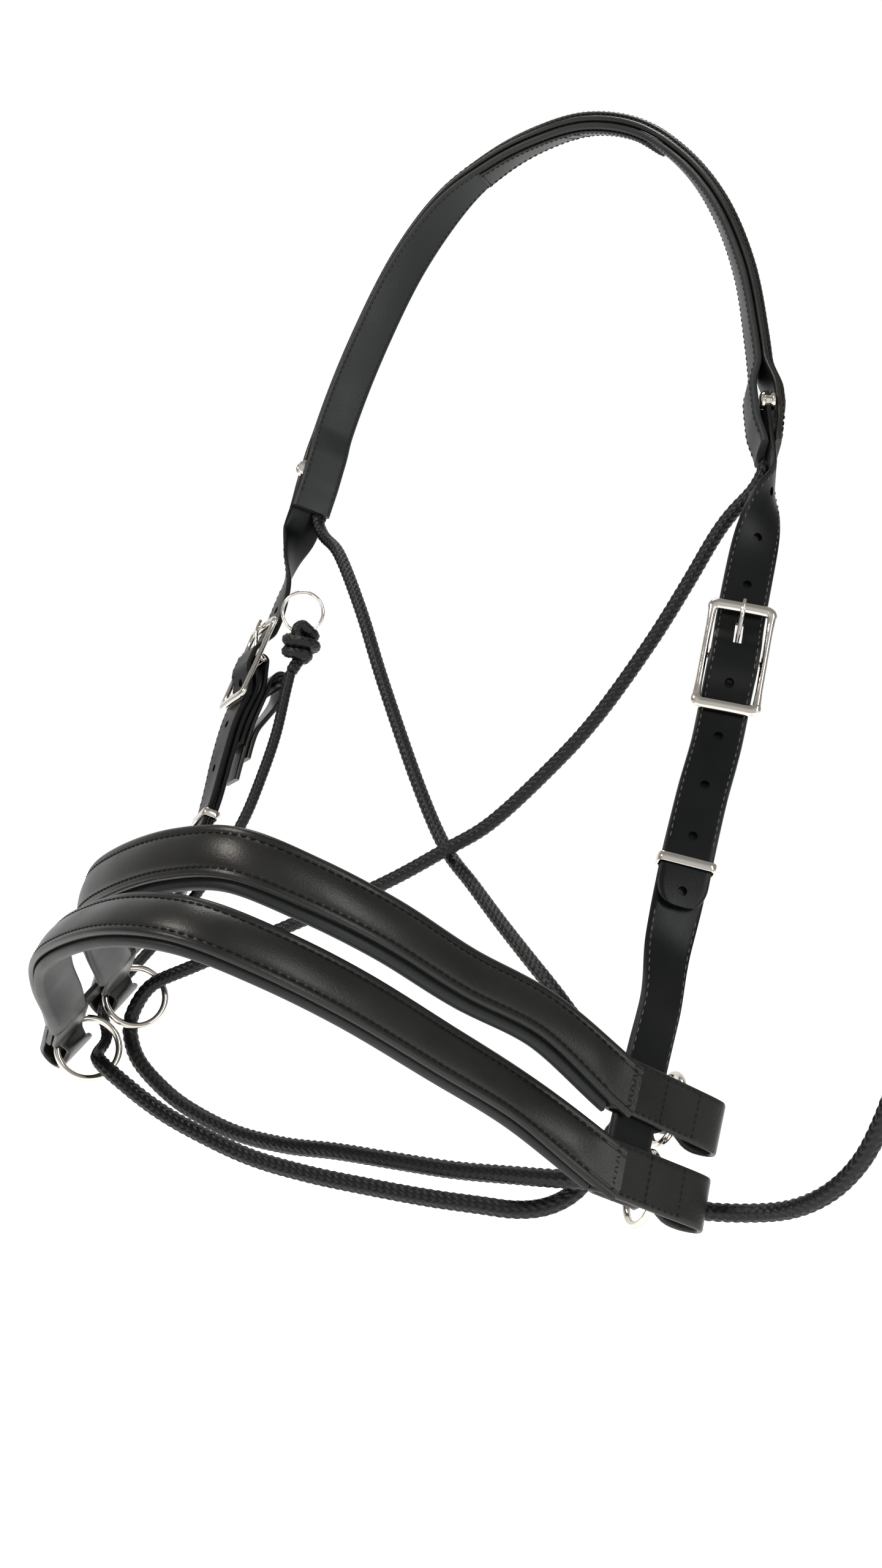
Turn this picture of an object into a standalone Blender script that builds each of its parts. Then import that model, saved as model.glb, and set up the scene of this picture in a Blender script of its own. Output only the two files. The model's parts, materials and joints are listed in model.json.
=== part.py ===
"""Bitless cross-under hackamore, worn pose: two padded nosebands, crown, cheeks, ropes and chrome hardware.

Row frame: +Z up, -Y towards the horse's nose, +X the horse's left (near) side. The origin is the
middle of the crown's underside, where it rests on the poll. Units are metres; lists named mm are
millimetres. near = +X side, far = -X side.
"""

import math

import bmesh
import bpy
import numpy as np
from mathutils import Vector

# ---------------------------------------------------------------- driving dimensions
STRAP = 0.0200  # width of crown, cheek and billet straps
LEATHER = 0.0024  # thickness of one strap layer
NOSE_W = 0.0190  # width of a noseband's outer strap
NOSE_T = 0.0030
PAD_W = 0.0205
PAD_T = 0.0040
GAP = 0.0003
HOLE = 0.0042
HOLE_PITCH = 0.0230
BUCKLE_W = 0.0270
BUCKLE_L = 0.0460
BUCKLE_BAR = 0.0046
BUCKLE_T = 0.0028
RING_R = 0.0135  # centreline radius of a noseband ring
RING_WIRE = 0.0030
REIN_R = 0.0098
REIN_WIRE = 0.0016
ROPE_TOP = 0.0062  # crown ropes
ROPE_LOW = 0.0070  # chin ropes and rein rope
ROPE_THIN = 0.0052  # rope drawn thin by the far knot
SEAT = 0.0057  # height of the crown's middle above its underside
SIDES = (("near", 1), ("far", -1))

# ---------------------------------------------------------------- scene
for old in list(bpy.data.objects):
    bpy.data.objects.remove(old)
for old in list(bpy.data.collections):
    bpy.data.collections.remove(old)
parts = bpy.data.collections.new("bitless_hackamore")
cutters = bpy.data.collections.new("cutters")
bpy.context.scene.collection.children.link(parts)
bpy.context.scene.collection.children.link(cutters)
cutters.hide_render = True


def material(name, colour, rough, metal=0.0):
    m = bpy.data.materials.new(name)
    m.use_nodes = True
    shader = m.node_tree.nodes["Principled BSDF"]
    shader.inputs["Base Color"].default_value = (*colour, 1)
    shader.inputs["Roughness"].default_value = rough
    shader.inputs["Metallic"].default_value = metal
    return m


STRAP_BLACK = material("strap_black", (0.020, 0.021, 0.021), 0.42)
BILLET_BLACK = material("billet_black", (0.024, 0.026, 0.026), 0.38)
PAD_BLACK = material("pad_black", (0.030, 0.032, 0.031), 0.60)
ROPE_BLACK = material("rope_black", (0.016, 0.018, 0.019), 0.75)
CHROME = material("chrome", (0.80, 0.80, 0.80), 0.08, 1.0)


def mm(points):
    """Points listed in mm from the crown's middle, in metres from its underside."""
    return np.array(points, float) / 1000 + np.array([0, 0, SEAT])


def unit(v):
    v = np.asarray(v, float)
    return v / np.linalg.norm(v, axis=-1, keepdims=True)


def az(degrees, z=0.0):
    """A horizontal direction at an angle from +X towards +Y."""
    a = math.radians(degrees)
    return (math.cos(a), math.sin(a), z)


def curve_through(points, n=12):
    """A smooth line through points (Catmull-Rom), n steps a span."""
    p = np.asarray(points, float)
    p = np.vstack([2 * p[0] - p[1], p, 2 * p[-1] - p[-2]])
    out = []
    for i in range(1, len(p) - 2):
        a, b, c, d = p[i - 1 : i + 3]
        for k in range(n):
            t = k / n
            out.append(
                0.5 * (2 * b + (c - a) * t + (2 * a - 5 * b + 4 * c - d) * t * t)
                + 0.5 * (3 * b - a - 3 * c + d) * t**3
            )
    out.append(p[-2])
    return np.array(out)


class Track:
    """A strap's path: places, and at each the directions along (t), across (w) and outward (n)."""

    def __init__(self, points, across, outward=1):
        both = curve_through(np.hstack([np.asarray(points, float), unit(across)]))
        self.p = both[:, :3]
        step = np.linalg.norm(np.diff(self.p, axis=0), axis=1)
        self.s = np.concatenate([[0], np.cumsum(step)])
        self.length = self.s[-1]
        t = unit(np.gradient(self.p, self.s, axis=0))
        w = both[:, 3:]
        self.w = unit(w - (w * t).sum(1)[:, None] * t)
        self.t = t
        self.n = np.cross(self.w, t) * outward

    def at(self, s):
        """(place, t, w, n) at distance s along; it runs on straight past both ends."""
        s = float(s)
        inside = min(max(s, 0.0), self.length)
        f = [
            np.array([np.interp(inside, self.s, a[:, k]) for k in range(3)])
            for a in (self.p, self.t, self.w, self.n)
        ]
        return f[0] + unit(f[1]) * (s - inside), unit(f[1]), unit(f[2]), unit(f[3])

    def point(self, s, w=0.0, v=0.0):
        p, _, across, out = self.at(s)
        return p + across * w + out * v


def ramp(x, marks):
    """The value at x on a smooth line through marks, (x, value) pairs; level between equal values."""
    for (xa, ya), (xb, yb) in zip(marks, marks[1:]):
        if x <= xb:
            t = min(max((x - xa) / (xb - xa), 0), 1)
            return ya + (yb - ya) * t * t * (3 - 2 * t)
    return marks[-1][1]


def show(name, mesh, mat, where=parts):
    obj = bpy.data.objects.new(name, mesh)
    where.objects.link(obj)
    if mat is not None:
        mesh.materials.append(mat)
    if where is cutters:
        obj.hide_render = True
        obj.display_type = "WIRE"
    return obj


def mapped_grid(name, rows, place, thick, mat, closed=False):
    """A grid with one row for each of `rows`, laid where place(row, side) says, made solid."""
    bm = bmesh.new()
    bmesh.ops.create_grid(bm, x_segments=len(rows) - 1, y_segments=1, size=0.5)
    for v in bm.verts:
        row = rows[round((v.co.x + 0.5) * (len(rows) - 1))]
        v.co = Vector(place(row, 1 if v.co.y > 0 else -1))
    if closed:
        bmesh.ops.remove_doubles(bm, verts=bm.verts, dist=1e-6)
    bmesh.ops.recalc_face_normals(bm, faces=bm.faces)
    mesh = bpy.data.meshes.new(name)
    bm.to_mesh(mesh)
    bm.free()
    obj = show(name, mesh, mat)
    solid = obj.modifiers.new("thickness", "SOLIDIFY")
    solid.thickness = thick
    solid.offset = 0
    return obj


def strap(name, track, s0, s1, width, thick, lift, mat, step=0.010, tips=(0, 0), extra=()):
    """A flat strap along a track. lift is its height off the track, tips how rounded its ends are."""
    rows = set(extra)
    for tip, end, way in ((tips[0], s0, 1), (tips[1], s1, -1)):
        if tip:
            rows |= {end + way * tip * k for k in (0.12, 0.35, 0.65, 1.0)}
    # layers on one track share these rows, so that their flats lie parallel
    for k in range(math.ceil(s0 / step), math.floor(s1 / step) + 1):
        if not rows or min(abs(k * step - r) for r in rows) > 0.0015:
            rows.add(k * step)
    rows = [s0, *sorted(r for r in rows if s0 + 0.0008 < r < s1 - 0.0008), s1]

    def half(s):
        h = width / 2 if not callable(width) else width(s) / 2
        for tip, far in ((tips[0], s - s0), (tips[1], s1 - s)):
            if tip and far < tip:
                k = 1 - far / tip
                h *= 0.35 + 0.65 * math.sqrt(max(0.0, 1 - k * k))
        return h

    def place(s, side):
        v = lift(s) if callable(lift) else lift
        return track.point(s, side * half(s), v)

    return mapped_grid(name, rows, place, thick, mat)


def tube(name, points, diameter, mat, closed=False, resolution=2):
    """A round rope or wire along a line of points."""
    data = bpy.data.curves.new(name, "CURVE")
    data.dimensions = "3D"
    data.bevel_depth = diameter / 2
    data.bevel_resolution = resolution
    data.use_fill_caps = not closed
    line = data.splines.new("POLY")
    line.points.add(len(points) - 1)
    for p, q in zip(line.points, points):
        p.co = (*q, 1)
    line.use_cyclic_u = closed
    data.materials.append(mat)
    obj = bpy.data.objects.new(name, data)
    parts.objects.link(obj)
    return obj


def even(points, step):
    """Points about step apart along a line."""
    p = np.asarray(points, float)
    s = np.concatenate([[0], np.cumsum(np.linalg.norm(np.diff(p, axis=0), axis=1))])
    at = np.linspace(0, s[-1], max(3, round(s[-1] / step) + 1))
    return np.stack([np.interp(at, s, p[:, k]) for k in range(3)], axis=1)


def rope(name, points, diameter, step=0.014):
    return tube(name, even(curve_through(mm(points)), step), diameter, ROPE_BLACK)


def basis(along, across):
    a = unit(along)
    w = unit(np.asarray(across) - np.dot(across, a) * a)
    return a, w, np.cross(w, a)


def ring(name, centre, normal, radius, wire, up=(0, 0, 1)):
    """A round ring facing along normal, with its object origin at its centre."""
    a, w, n = basis(normal, up)
    k = [2 * math.pi * i / 28 for i in range(28)]
    points = [w * radius * math.cos(t) + n * radius * math.sin(t) for t in k]
    obj = tube(name, points, wire, CHROME, closed=True, resolution=1)
    obj.location = Vector(centre)
    return obj


def ribbon(name, points, across, width, thick, mat, closed=False):
    """A flat band along any line of points, with the direction across it given at each."""
    p, w = np.asarray(points, float), unit(across)
    wide = width if callable(width) else lambda i: width
    if closed:
        p, w = np.vstack([p, p[:1]]), np.vstack([w, w[:1]])
    last = len(p) - 1

    def place(i, side):
        return p[i] + w[i] * side * wide(i % last if closed else i) / 2

    return mapped_grid(name, list(range(len(p))), place, thick, mat, closed)


def cylinder(name, centre, axis, radius, length, mat, where=parts, sides=14):
    bm = bmesh.new()
    bmesh.ops.create_cone(
        bm, cap_ends=True, segments=sides, radius1=radius, radius2=radius, depth=length
    )
    turn = Vector((0, 0, 1)).rotation_difference(Vector(axis)).to_matrix()
    bmesh.ops.rotate(bm, verts=bm.verts, matrix=turn)
    bmesh.ops.translate(bm, verts=bm.verts, vec=Vector(centre))
    mesh = bpy.data.meshes.new(name)
    bm.to_mesh(mesh)
    bm.free()
    return show(name, mesh, mat, where)


def box(name, centre, axes, size, mat=None, where=cutters):
    """A box with its sides along three directions."""
    axes = (axes[0], axes[1], np.cross(axes[0], axes[1]))
    bm = bmesh.new()
    bmesh.ops.create_cube(bm, size=1)
    for v in bm.verts:
        q = sum((np.array(axes[k]) * size[k] * v.co[k] for k in range(3)), np.array(centre))
        v.co = Vector(q)
    mesh = bpy.data.meshes.new(name)
    bm.to_mesh(mesh)
    bm.free()
    return show(name, mesh, mat, where)


def cut(obj, tools):
    for i, tool in enumerate(tools):
        m = obj.modifiers.new(f"cut_{i}", "BOOLEAN")
        m.operation = "DIFFERENCE"
        m.solver = "EXACT"
        m.object = tool


def joined(name, meshes):
    """One mesh made of several separate cutters."""
    bm = bmesh.new()
    for obj in meshes:
        bm.from_mesh(obj.data)
        bpy.data.objects.remove(obj)
    mesh = bpy.data.meshes.new(name)
    bm.to_mesh(mesh)
    bm.free()
    return show(name, mesh, None, cutters)


# ---------------------------------------------------------------- crown
CROWN_MM = [
    (126, -76, -194), (119, -66, -169), (111, -55, -138), (99, -41, -102), (82, -29, -68),
    (58, -16, -37), (30, -6, -13), (0, -1, -1), (-28, 0, -1), (-54, -4, -10), (-78, -11, -28),
    (-97, -24, -60), (-110, -41, -103), (-118, -58, -147), (-122, -76, -196),
]
CROWN_ACROSS = [
    az(124), az(124), az(122), az(118), az(112), az(104, 0.1), az(97, 0.2), az(92, 0.25),
    az(88, 0.25), az(84, 0.2), az(74, 0.1), az(66), az(60), az(56), az(56),
]
crown = Track(mm(CROWN_MM), CROWN_ACROSS)
POCKET = [(0.000, 0.0035), (0.026, 0.0035), (0.046, 0.0002)]


def pocket(s):
    """Half the space between the crown's outer and inner layers, at s along it."""
    return ramp(min(s, crown.length - s), POCKET)


CROWN_T = 0.0028
LINING_T = 0.0030
end = crown.length
strap("crown_strap", crown, 0, end, STRAP, CROWN_T, lambda s: pocket(s) + CROWN_T / 2,
      STRAP_BLACK, extra=(0.026, 0.036, end - 0.036, end - 0.026))
strap("crown_lining", crown, 0, end, STRAP, LINING_T, lambda s: -pocket(s) - LINING_T / 2,
      PAD_BLACK, extra=(0.026, 0.036, end - 0.036, end - 0.026))
strap("crown_overlay", crown, 0.020, end - 0.020, 0.0135, 0.0012,
      lambda s: pocket(s) + CROWN_T + GAP + 0.0010, STRAP_BLACK, tips=(0.004, 0.004))
strap("crown_lining_strip", crown, 0.150, end - 0.150, 0.0150, 0.0012,
      lambda s: -pocket(s) - LINING_T - GAP - 0.0010, STRAP_BLACK)
for side, sign in SIDES:
    s = 0.021 if side == "near" else end - 0.021
    _, _, across, out = crown.at(s)
    cylinder(f"crown_rivet_{side}", crown.point(s, -0.0052), out, 0.0030, 0.0064, CHROME)

# ---------------------------------------------------------------- cheeks
U_NEAR = (0.395, 0.790, -0.470)
U_FAR = (-0.660, 0.700, -0.270)
CHEEK_MM = {
    "near": [
        (130, -73.5, -194.5), (129, -79, -206), (128, -85, -218), (127, -93, -236),
        (127, -103, -257), (127, -111.6, -277), (127, -120.3, -297), (127, -130.6, -318),
        (127, -143, -337), (127.5, -155, -357), (128, -166, -379), (129, -181, -410),
        (128, -193, -435), (128, -206, -460), (128.6, -216.4, -480.6),
    ],
    "far": [
        (-126, -73.5, -196.5), (-127, -78, -207), (-128, -83, -219), (-128, -88, -235),
        (-128, -96, -252), (-128, -105.9, -267), (-128, -118, -285.6), (-128, -130, -304),
        (-128, -138, -322), (-128, -146, -343), (-127, -158, -365), (-124, -174, -387),
        (-124, -191, -402), (-128, -206, -415.5), (-132, -221.5, -429.5), (-136.7, -237.4, -443.8),
    ],
}
CHEEK_TURN = [124, 108, 74, 42, 32, 32, 32, 32, 32, 36, 46]
cheek = {}
for side, sign in SIDES:
    across = [az(a) for a in CHEEK_TURN]
    across = [(x * sign, y, z) for x, y, z in across]
    across += [U_NEAR] * 4 if side == "near" else [U_FAR] * 5
    cheek[side] = Track(mm(CHEEK_MM[side]), across, outward=-sign)

BAR_S = {"near": 0.0985, "far": 0.0892}  # where the buckle's centre bar lies along the cheek
KEEPER_S = {"near": 0.1905, "far": 0.1725}
TIP_S = {"near": 0.2085, "far": 0.2040}
BILLET_RISE = [(-0.0180, 0.0), (-0.003, 0.0055), (0.003, 0.0055), (0.0175, 0.0)]
LOWER = LEATHER + 0.0008  # the lower cheek strap lies this far inside the billet
BAR_R = 0.0013
# The cheek strap from its foot up to the bar, round the bar, and back down inside: (s past the bar, v).
FOLD_MM = [
    (26, -3.2), (18, -3.2), (12, -2.3), (7, 0.3), (3.5, 2.2), (0, 2.85), (-2.0, 2.0), (-2.85, 0),
    (-2.0, -2.0), (0, -2.85), (4, -4.0), (9, -5.5), (14, -6.1), (24, -6.1), (34, -6.1), (44, -6.1),
]
# The hanging loop sewn inside the cheek: (s past the bar, v).
LOOP_MM = [
    (62, -8.9), (50, -8.9), (38, -8.9), (28, -8.8), (16, -8.7), (7, -8.7), (1.5, -10.0),
    (-0.5, -12.8), (2, -15.9), (8, -17.3), (16, -16.4), (26, -14.0), (34, -12.1), (42, -11.7),
    (50, -11.7),
]
TONGUE_MM = [
    (-2.35, -0.9), (-1.3, -2.15), (0.6, -2.45), (2.2, -1.2), (2.4, 0.7), (1.0, 2.25), (-2.0, 2.45),
    (-7.0, 2.4), (-12, 4.0), (-17, 5.9), (-21, 6.5), (-24.5, 6.6),
]
FOOT_RISE = [(0.000, 0.0), (0.030, 1.0)]  # the lower strap comes out to the track at its foot


def smooth_sv(track, bar, mm, n=4):
    """Points in space of a line given as (distance past the bar, height) pairs, and w at each."""
    flat = curve_through([(a / 1000, b / 1000, 0.0) for a, b in mm], n)
    places = [track.point(bar + a, 0, b) for a, b, _ in flat]
    return places, [track.at(bar + a)[2] for a, _, _ in flat]


def on_cheek(side, s):
    """How far the lower cheek strap's middle is from the track, at s."""
    foot = cheek[side].length - 0.070
    return -LOWER * (1 - ramp(s, [(foot - 0.030, 0.0), (foot, 1.0)]))


for side, sign in SIDES:
    track = cheek[side]
    bar = BAR_S[side]
    billet = strap(
        f"billet_{side}", track, 0.004, TIP_S[side], STRAP, LEATHER,
        lambda s: ramp(s - bar, BILLET_RISE), BILLET_BLACK, tips=(0, 0.010),
        extra=(bar - 0.0180, bar - 0.0135, bar - 0.008, bar - 0.003, bar + 0.003, bar + 0.010,
               bar + 0.0175),
    )
    drills = []
    for k in range(9):
        s = bar - 0.0112 + HOLE_PITCH * (k - 3)
        if k == 3 or s > TIP_S[side] - 0.006:
            continue
        v = ramp(s - bar, BILLET_RISE)
        n = track.at(s)[3]
        drills.append(
            cylinder(f"drill_{k}", track.point(s, 0, v), n, HOLE / 2, 0.008, None, cutters, 10)
        )
    s = bar - 0.0112
    p, t, w, n = track.at(s)
    middle = track.point(s + 0.0008, 0, 0.003)
    drills.append(box("slot", middle, (t, w, n), (0.0112, 0.0042, 0.012)))
    cut(billet, [joined(f"billet_holes_{side}", drills)])

    # buckle frame: two end bars and two rails in one plane, the centre bar set lower between posts
    p, t, w, n = track.at(bar)
    axes = (t, w, n)
    rail = 0.0027
    frame = box(f"buckle_frame_{side}", track.point(bar, 0, 0.0018), axes,
                (BUCKLE_L, BUCKLE_W, 0.0062), CHROME, parts)
    frame_cuts = [
        box("window", p, axes, (BUCKLE_L - 2 * BUCKLE_BAR, BUCKLE_W - 2 * rail, 0.02)),
        box("under_a", p + t * 0.0160 - n * 0.0029, axes, (0.0260, 0.04, 0.0100)),
        box("under_b", p - t * 0.0160 - n * 0.0029, axes, (0.0260, 0.04, 0.0100)),
    ]
    cut(frame, frame_cuts)
    middle = cylinder(f"bar_{side}", p, w, BAR_R, BUCKLE_W - 0.001, None, cutters, 12)
    m = frame.modifiers.new("centre_bar", "BOOLEAN")
    m.operation = "UNION"
    m.solver = "EXACT"
    m.object = middle

    line = curve_through([(a / 1000, b / 1000) for a, b in TONGUE_MM], 3)
    tongue = tube(f"buckle_tongue_{side}", [t * a + n * b for a, b in line], 0.0018, CHROME,
                  resolution=1)
    tongue.location = Vector(p)

    # cheek strap: foot, up behind the billet, round the centre bar and back down
    top = math.ceil((bar + 0.030) / 0.010)
    low = [track.length, *(0.010 * k for k in range(int(track.length / 0.010 - 0.1), top, -1))]
    foot_places = [track.point(s, 0, on_cheek(side, s)) for s in low]
    foot_across = [track.at(s)[2] for s in low]
    fold_places, fold_across = smooth_sv(track, bar, FOLD_MM, 3)
    strap_obj = ribbon(f"cheek_strap_{side}", foot_places + fold_places,
                       foot_across + fold_across, STRAP, LEATHER, BILLET_BLACK)
    slot = box(f"chape_slot_{side}", p - t * 0.0007, axes, (0.0104, 0.0028, 0.014))
    cut(strap_obj, [slot])

    loop_places, loop_across = smooth_sv(track, bar, LOOP_MM, 2)
    ribbon(f"hanging_loop_{side}", loop_places, loop_across, 0.0180, 0.0022, STRAP_BLACK)

    s = KEEPER_S[side]
    p, t, w, n = track.at(s)
    middle = p - n * (LOWER / 2)
    keeper = box(f"keeper_{side}", (0, 0, 0), (t, w, n), (0.0036, 0.0234, 0.0088), CHROME, parts)
    keeper.location = Vector(middle)
    hole = box(f"keeper_hole_{side}", middle, (t, w, n), (0.02, 0.0208, 0.0064))
    cut(keeper, [hole])

# ---------------------------------------------------------------- nosebands and their end bands
BAND_T = 0.0022
BAND_MM = [  # closed outline of an end band, (u, v) from the cheek strap's middle
    (-9, 0), (0, 0), (9, 0), (18, 0), (27, 0), (32, -1.7), (34.4, -5.7), (32, -9.8), (27, -11.5),
    (19, -11.5), (14, -10.2), (11, -7.0), (7, -5.6), (0, -5.5), (-9, -5.5), (-11.7, -4.7),
    (-12.5, -2.75), (-11.7, -0.8),
]
RING_U = {("upper", "near"): 0.0250, ("lower", "near"): 0.0215,
          ("upper", "far"): 0.0145, ("lower", "far"): 0.0145}
RING_UP = {("upper", "near"): 0.0030, ("lower", "near"): 0.0010,
           ("upper", "far"): 0.0015, ("lower", "far"): 0.0015}
RING_TILT = {"near": 18, "far": 4}
BAND_LONGER = {"near": 7, "far": 0}  # mm added to the open part of the near bands
# height of each end band above the cheek strap's foot
LEVEL = {("upper", "near"): 0.0390, ("lower", "near"): 0.0093,
         ("upper", "far"): 0.0415, ("lower", "far"): 0.0100}
NOSE_MM = {
    "upper": [
        (107, -228, -416), (92, -257, -399), (79, -284, -381), (62, -305, -367),
        (40, -319, -357), (10, -318, -358), (-25, -308, -365), (-58, -291, -375),
        (-82, -267, -388), (-101, -240, -403),
    ],
    "lower": [
        (105, -241, -444), (91, -272, -423), (77, -302, -403), (60, -325, -388),
        (38, -339, -378), (8, -338, -377), (-27, -326, -383), (-60, -309, -393),
        (-85, -286, -407), (-106, -261, -421),
    ],
}
NOSE_ACROSS = [
    (-0.16, 0.60, 0.79), (-0.12, 0.64, 0.76), (-0.08, 0.70, 0.71), (-0.04, 0.74, 0.67),
    (0, 0.75, 0.66), (0, 0.75, 0.66), (0.04, 0.74, 0.67), (0.08, 0.70, 0.70), (0.14, 0.66, 0.72),
    (0.18, 0.66, 0.70),
]
band_frame = {}
for side, sign in SIDES:
    track = cheek[side]
    for row in ("upper", "lower"):
        s = track.length - LEVEL[row, side]
        p, t, w, n = track.at(s)
        at = p + n * (LEATHER / 2 + GAP + BAND_T / 2 + 0.0002)
        band_frame[row, side] = (at, w, -t, n)
        more = BAND_LONGER[side]
        outline = [(a + more * (a > 24), b) for a, b in BAND_MM + BAND_MM[:1]]
        flat = curve_through([(a / 1000, b / 1000, 0.0) for a, b in outline], 3)
        places = [at + w * a + n * b for a, b, _ in flat[:-1]]

        def width(i, flat=flat):
            a, b, _ = flat[i]
            return STRAP - 0.0080 * (b < -0.0058) * (0.0085 < a < 0.030 + more / 1000)

        ribbon(f"end_band_{row}_{side}", places, [-t] * len(places), width, BAND_T, STRAP_BLACK,
               closed=True)
        centre = at + w * RING_U[row, side] - t * RING_UP[row, side] - n * 0.0163
        tilt = math.radians(RING_TILT[side])
        ring(f"nose_ring_{row}_{side}", centre, w * math.cos(tilt) + n * math.sin(tilt), RING_R,
             RING_WIRE)

nose = {}
for row in ("upper", "lower"):
    a, ua, wa, _ = band_frame[row, "near"]
    b, ub, wb, _ = band_frame[row, "far"]
    points = np.vstack([a - ua * 0.0100, mm(NOSE_MM[row]), b - ub * 0.0100])
    track = Track(points, np.vstack([wa, NOSE_ACROSS, wb]))
    nose[row] = track
    # both layers are cut off square with the end bands, just short of their folds
    trims = [
        box(f"trim_{row}_{k}", at + u * 0.0062, (u, w, n), (0.040, 0.05, 0.04))
        for k, (at, u, w, n) in enumerate((band_frame[row, "near"], band_frame[row, "far"]))
    ]
    between = [k for d in (0.005, 0.015, 0.025) for k in (d, track.length - d)]
    band = strap(f"noseband_{row}", track, 0, track.length, NOSE_W, NOSE_T, 0.0, STRAP_BLACK,
                 extra=between)
    pad = strap(f"noseband_pad_{row}", track, 0, track.length, PAD_W, PAD_T,
                -(NOSE_T + PAD_T) / 2 - GAP, PAD_BLACK, extra=between)
    cut(band, trims)
    cut(pad, trims)

# ---------------------------------------------------------------- ropes, knots and rein rings
# Rope 1: far crown end, under the jaw to the near upper ring, back under the chin to the far lower
# ring, up through the far upper band to the knot. Rope 2: the same from the near crown end, ending
# in the rein knot beside the near cheek. Points are close together only where a rope turns sharply.
ROPE_1_MM = [
    (-118.5, -65.2, -173.5), (-119.5, -69.5, -185), (-119.4, -73.2, -198), (-112, -77.5, -209),
    (-97, -84, -220), (-75, -95, -251), (-56, -104, -285), (-27, -117, -333), (-5, -127, -362),
    (15, -136, -377), (35, -145, -392), (54, -154, -405), (72, -160, -419), (90, -161.5, -438),
    (104, -158, -455), (112.5, -157, -464), (119.1, -161.2, -465.6), (121.5, -165.1, -463.5),
    (119.5, -169, -461.5), (115.4, -171.2, -460.3), (109.5, -172, -460.8), (106.5, -180, -466.5),
    (104.5, -190, -478), (99.5, -197, -486.5), (91, -203, -491.5), (80, -207, -493.2),
    (67, -209, -493), (44, -211, -493), (16, -213, -492), (-13, -216, -490), (-43, -218, -486),
    (-75, -221, -476.5), (-94, -222, -469), (-110, -223, -460.5), (-120, -222.5, -455.5),
    (-126.8, -218.6, -454), (-131.5, -214.1, -453.9), (-135.3, -209.5, -452.7),
    (-136.3, -204.3, -450.3), (-138, -201.5, -445.5), (-143, -200.1, -437.2),
    (-143.7, -194.3, -429.4), (-142, -186.8, -423), (-138, -176, -412), (-125, -168, -395),
    (-108, -162, -371), (-98, -155, -351), (-97, -144, -332), (-97.7, -132, -311),
    (-100.2, -121.6, -290.1), (-100.3, -117.5, -279.5),
]
ROPE_2_MM = [
    (118, -64.5, -171), (121, -68.5, -183), (123.2, -72.9, -198.5), (119.7, -77, -209),
    (112, -80, -217.5), (105, -83.5, -228), (94, -89, -249), (80, -96, -274), (60, -106, -305),
    (42, -115, -327), (19, -127, -351), (1, -136.5, -363), (-20, -147, -376), (-50, -160, -391),
    (-80, -173, -405), (-104, -183, -416), (-121.5, -188, -423.5), (-126.4, -191, -429),
    (-128.4, -194, -435), (-130.9, -194.6, -441.3), (-129.7, -195.5, -447.5), (-123, -198.5, -456),
    (-110.5, -200.5, -464.5), (-92, -201, -474), (-64, -201, -482), (-35, -202, -484),
    (-8, -202.5, -483), (20, -203, -483), (50, -203, -483), (80, -204, -481), (94, -204.5, -480),
    (106, -202.5, -479.5), (115.4, -194.6, -480.5), (122, -187.8, -483.7), (127, -180.5, -488.5),
    (139, -170, -493), (157, -164, -492.5), (174, -165.5, -488), (189, -168, -479),
    (201, -171, -466), (209, -173, -451), (215, -175, -436), (219.5, -175.5, -423),
]


def thick_and_thin(name, points, marks):
    """A rope along listed points whose diameter goes smoothly through marks, (point, diameter)."""
    line = curve_through(mm(points), 2)
    last = len(line) - 1
    kept = [
        i for i in range(last + 1)
        if i % 2 == 0 or np.linalg.norm(line[i + 1] - line[i - 1]) > 0.0115
    ]
    obj = tube(name, line[kept], 2.0, ROPE_BLACK)
    obj.data.bevel_depth = 0.001
    for i, p in zip(kept, obj.data.splines[0].points):
        p.radius = ramp(i / 2, marks) * 500
    return obj


thick_and_thin("rope_far_crown", ROPE_1_MM,
               [(0, ROPE_TOP), (14, ROPE_TOP), (22, ROPE_LOW), (33, ROPE_LOW), (38, ROPE_THIN)])
thick_and_thin("rope_near_crown", ROPE_2_MM,
               [(0, ROPE_TOP), (14, ROPE_TOP), (22, ROPE_LOW), (42, ROPE_LOW)])


def rein_end(side, knot_mm, ring_mm, facing, size):
    """The knot at a rope's end with the small ring caught in it."""
    centre, at = mm([knot_mm])[0], mm([ring_mm])[0]
    bm = bmesh.new()
    bmesh.ops.create_uvsphere(bm, u_segments=18, v_segments=12, radius=1)
    bmesh.ops.scale(bm, verts=bm.verts, vec=Vector(size))
    bmesh.ops.translate(bm, verts=bm.verts, vec=Vector(centre))
    mesh = bpy.data.meshes.new(f"rein_knot_{side}")
    bm.to_mesh(mesh)
    bm.free()
    knot = show(f"rein_knot_{side}", mesh, ROPE_BLACK)
    normal, up, _ = basis(facing, at - centre)
    slot = cylinder(f"rein_slot_{side}", at, normal, REIN_R + 0.0019, 0.0042, None, cutters, 24)
    core = cylinder(f"rein_core_{side}", at, normal, REIN_R - 0.0019, 0.0100, None, cutters, 24)
    cut(slot, [core])
    cut(knot, [slot])
    ring(f"rein_ring_{side}", at, normal, REIN_R, REIN_WIRE, up)


rein_end("far", (-100, -110, -266), (-99.5, -109.5, -251), (-0.61, 0.79, 0.0),
         (0.0095, 0.0085, 0.0110))
rein_end("near", (222, -175.5, -410), (224, -175, -395), (-0.40, 0.90, 0.0),
         (0.0100, 0.0100, 0.0115))

# the short tail of rope 1, from its knot through the far hanging loop
track, bar = cheek["far"], BAR_S["far"]
tail = [track.point(bar + 0.0060, w / 1000, -0.0125) for w in (8, 2, -4, -10)]
tail += list(mm([(-107, -114, -284), (-102.5, -113, -279)]))
tube("rope_tail_far", curve_through(tail, 2), 0.0046, ROPE_BLACK)
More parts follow.
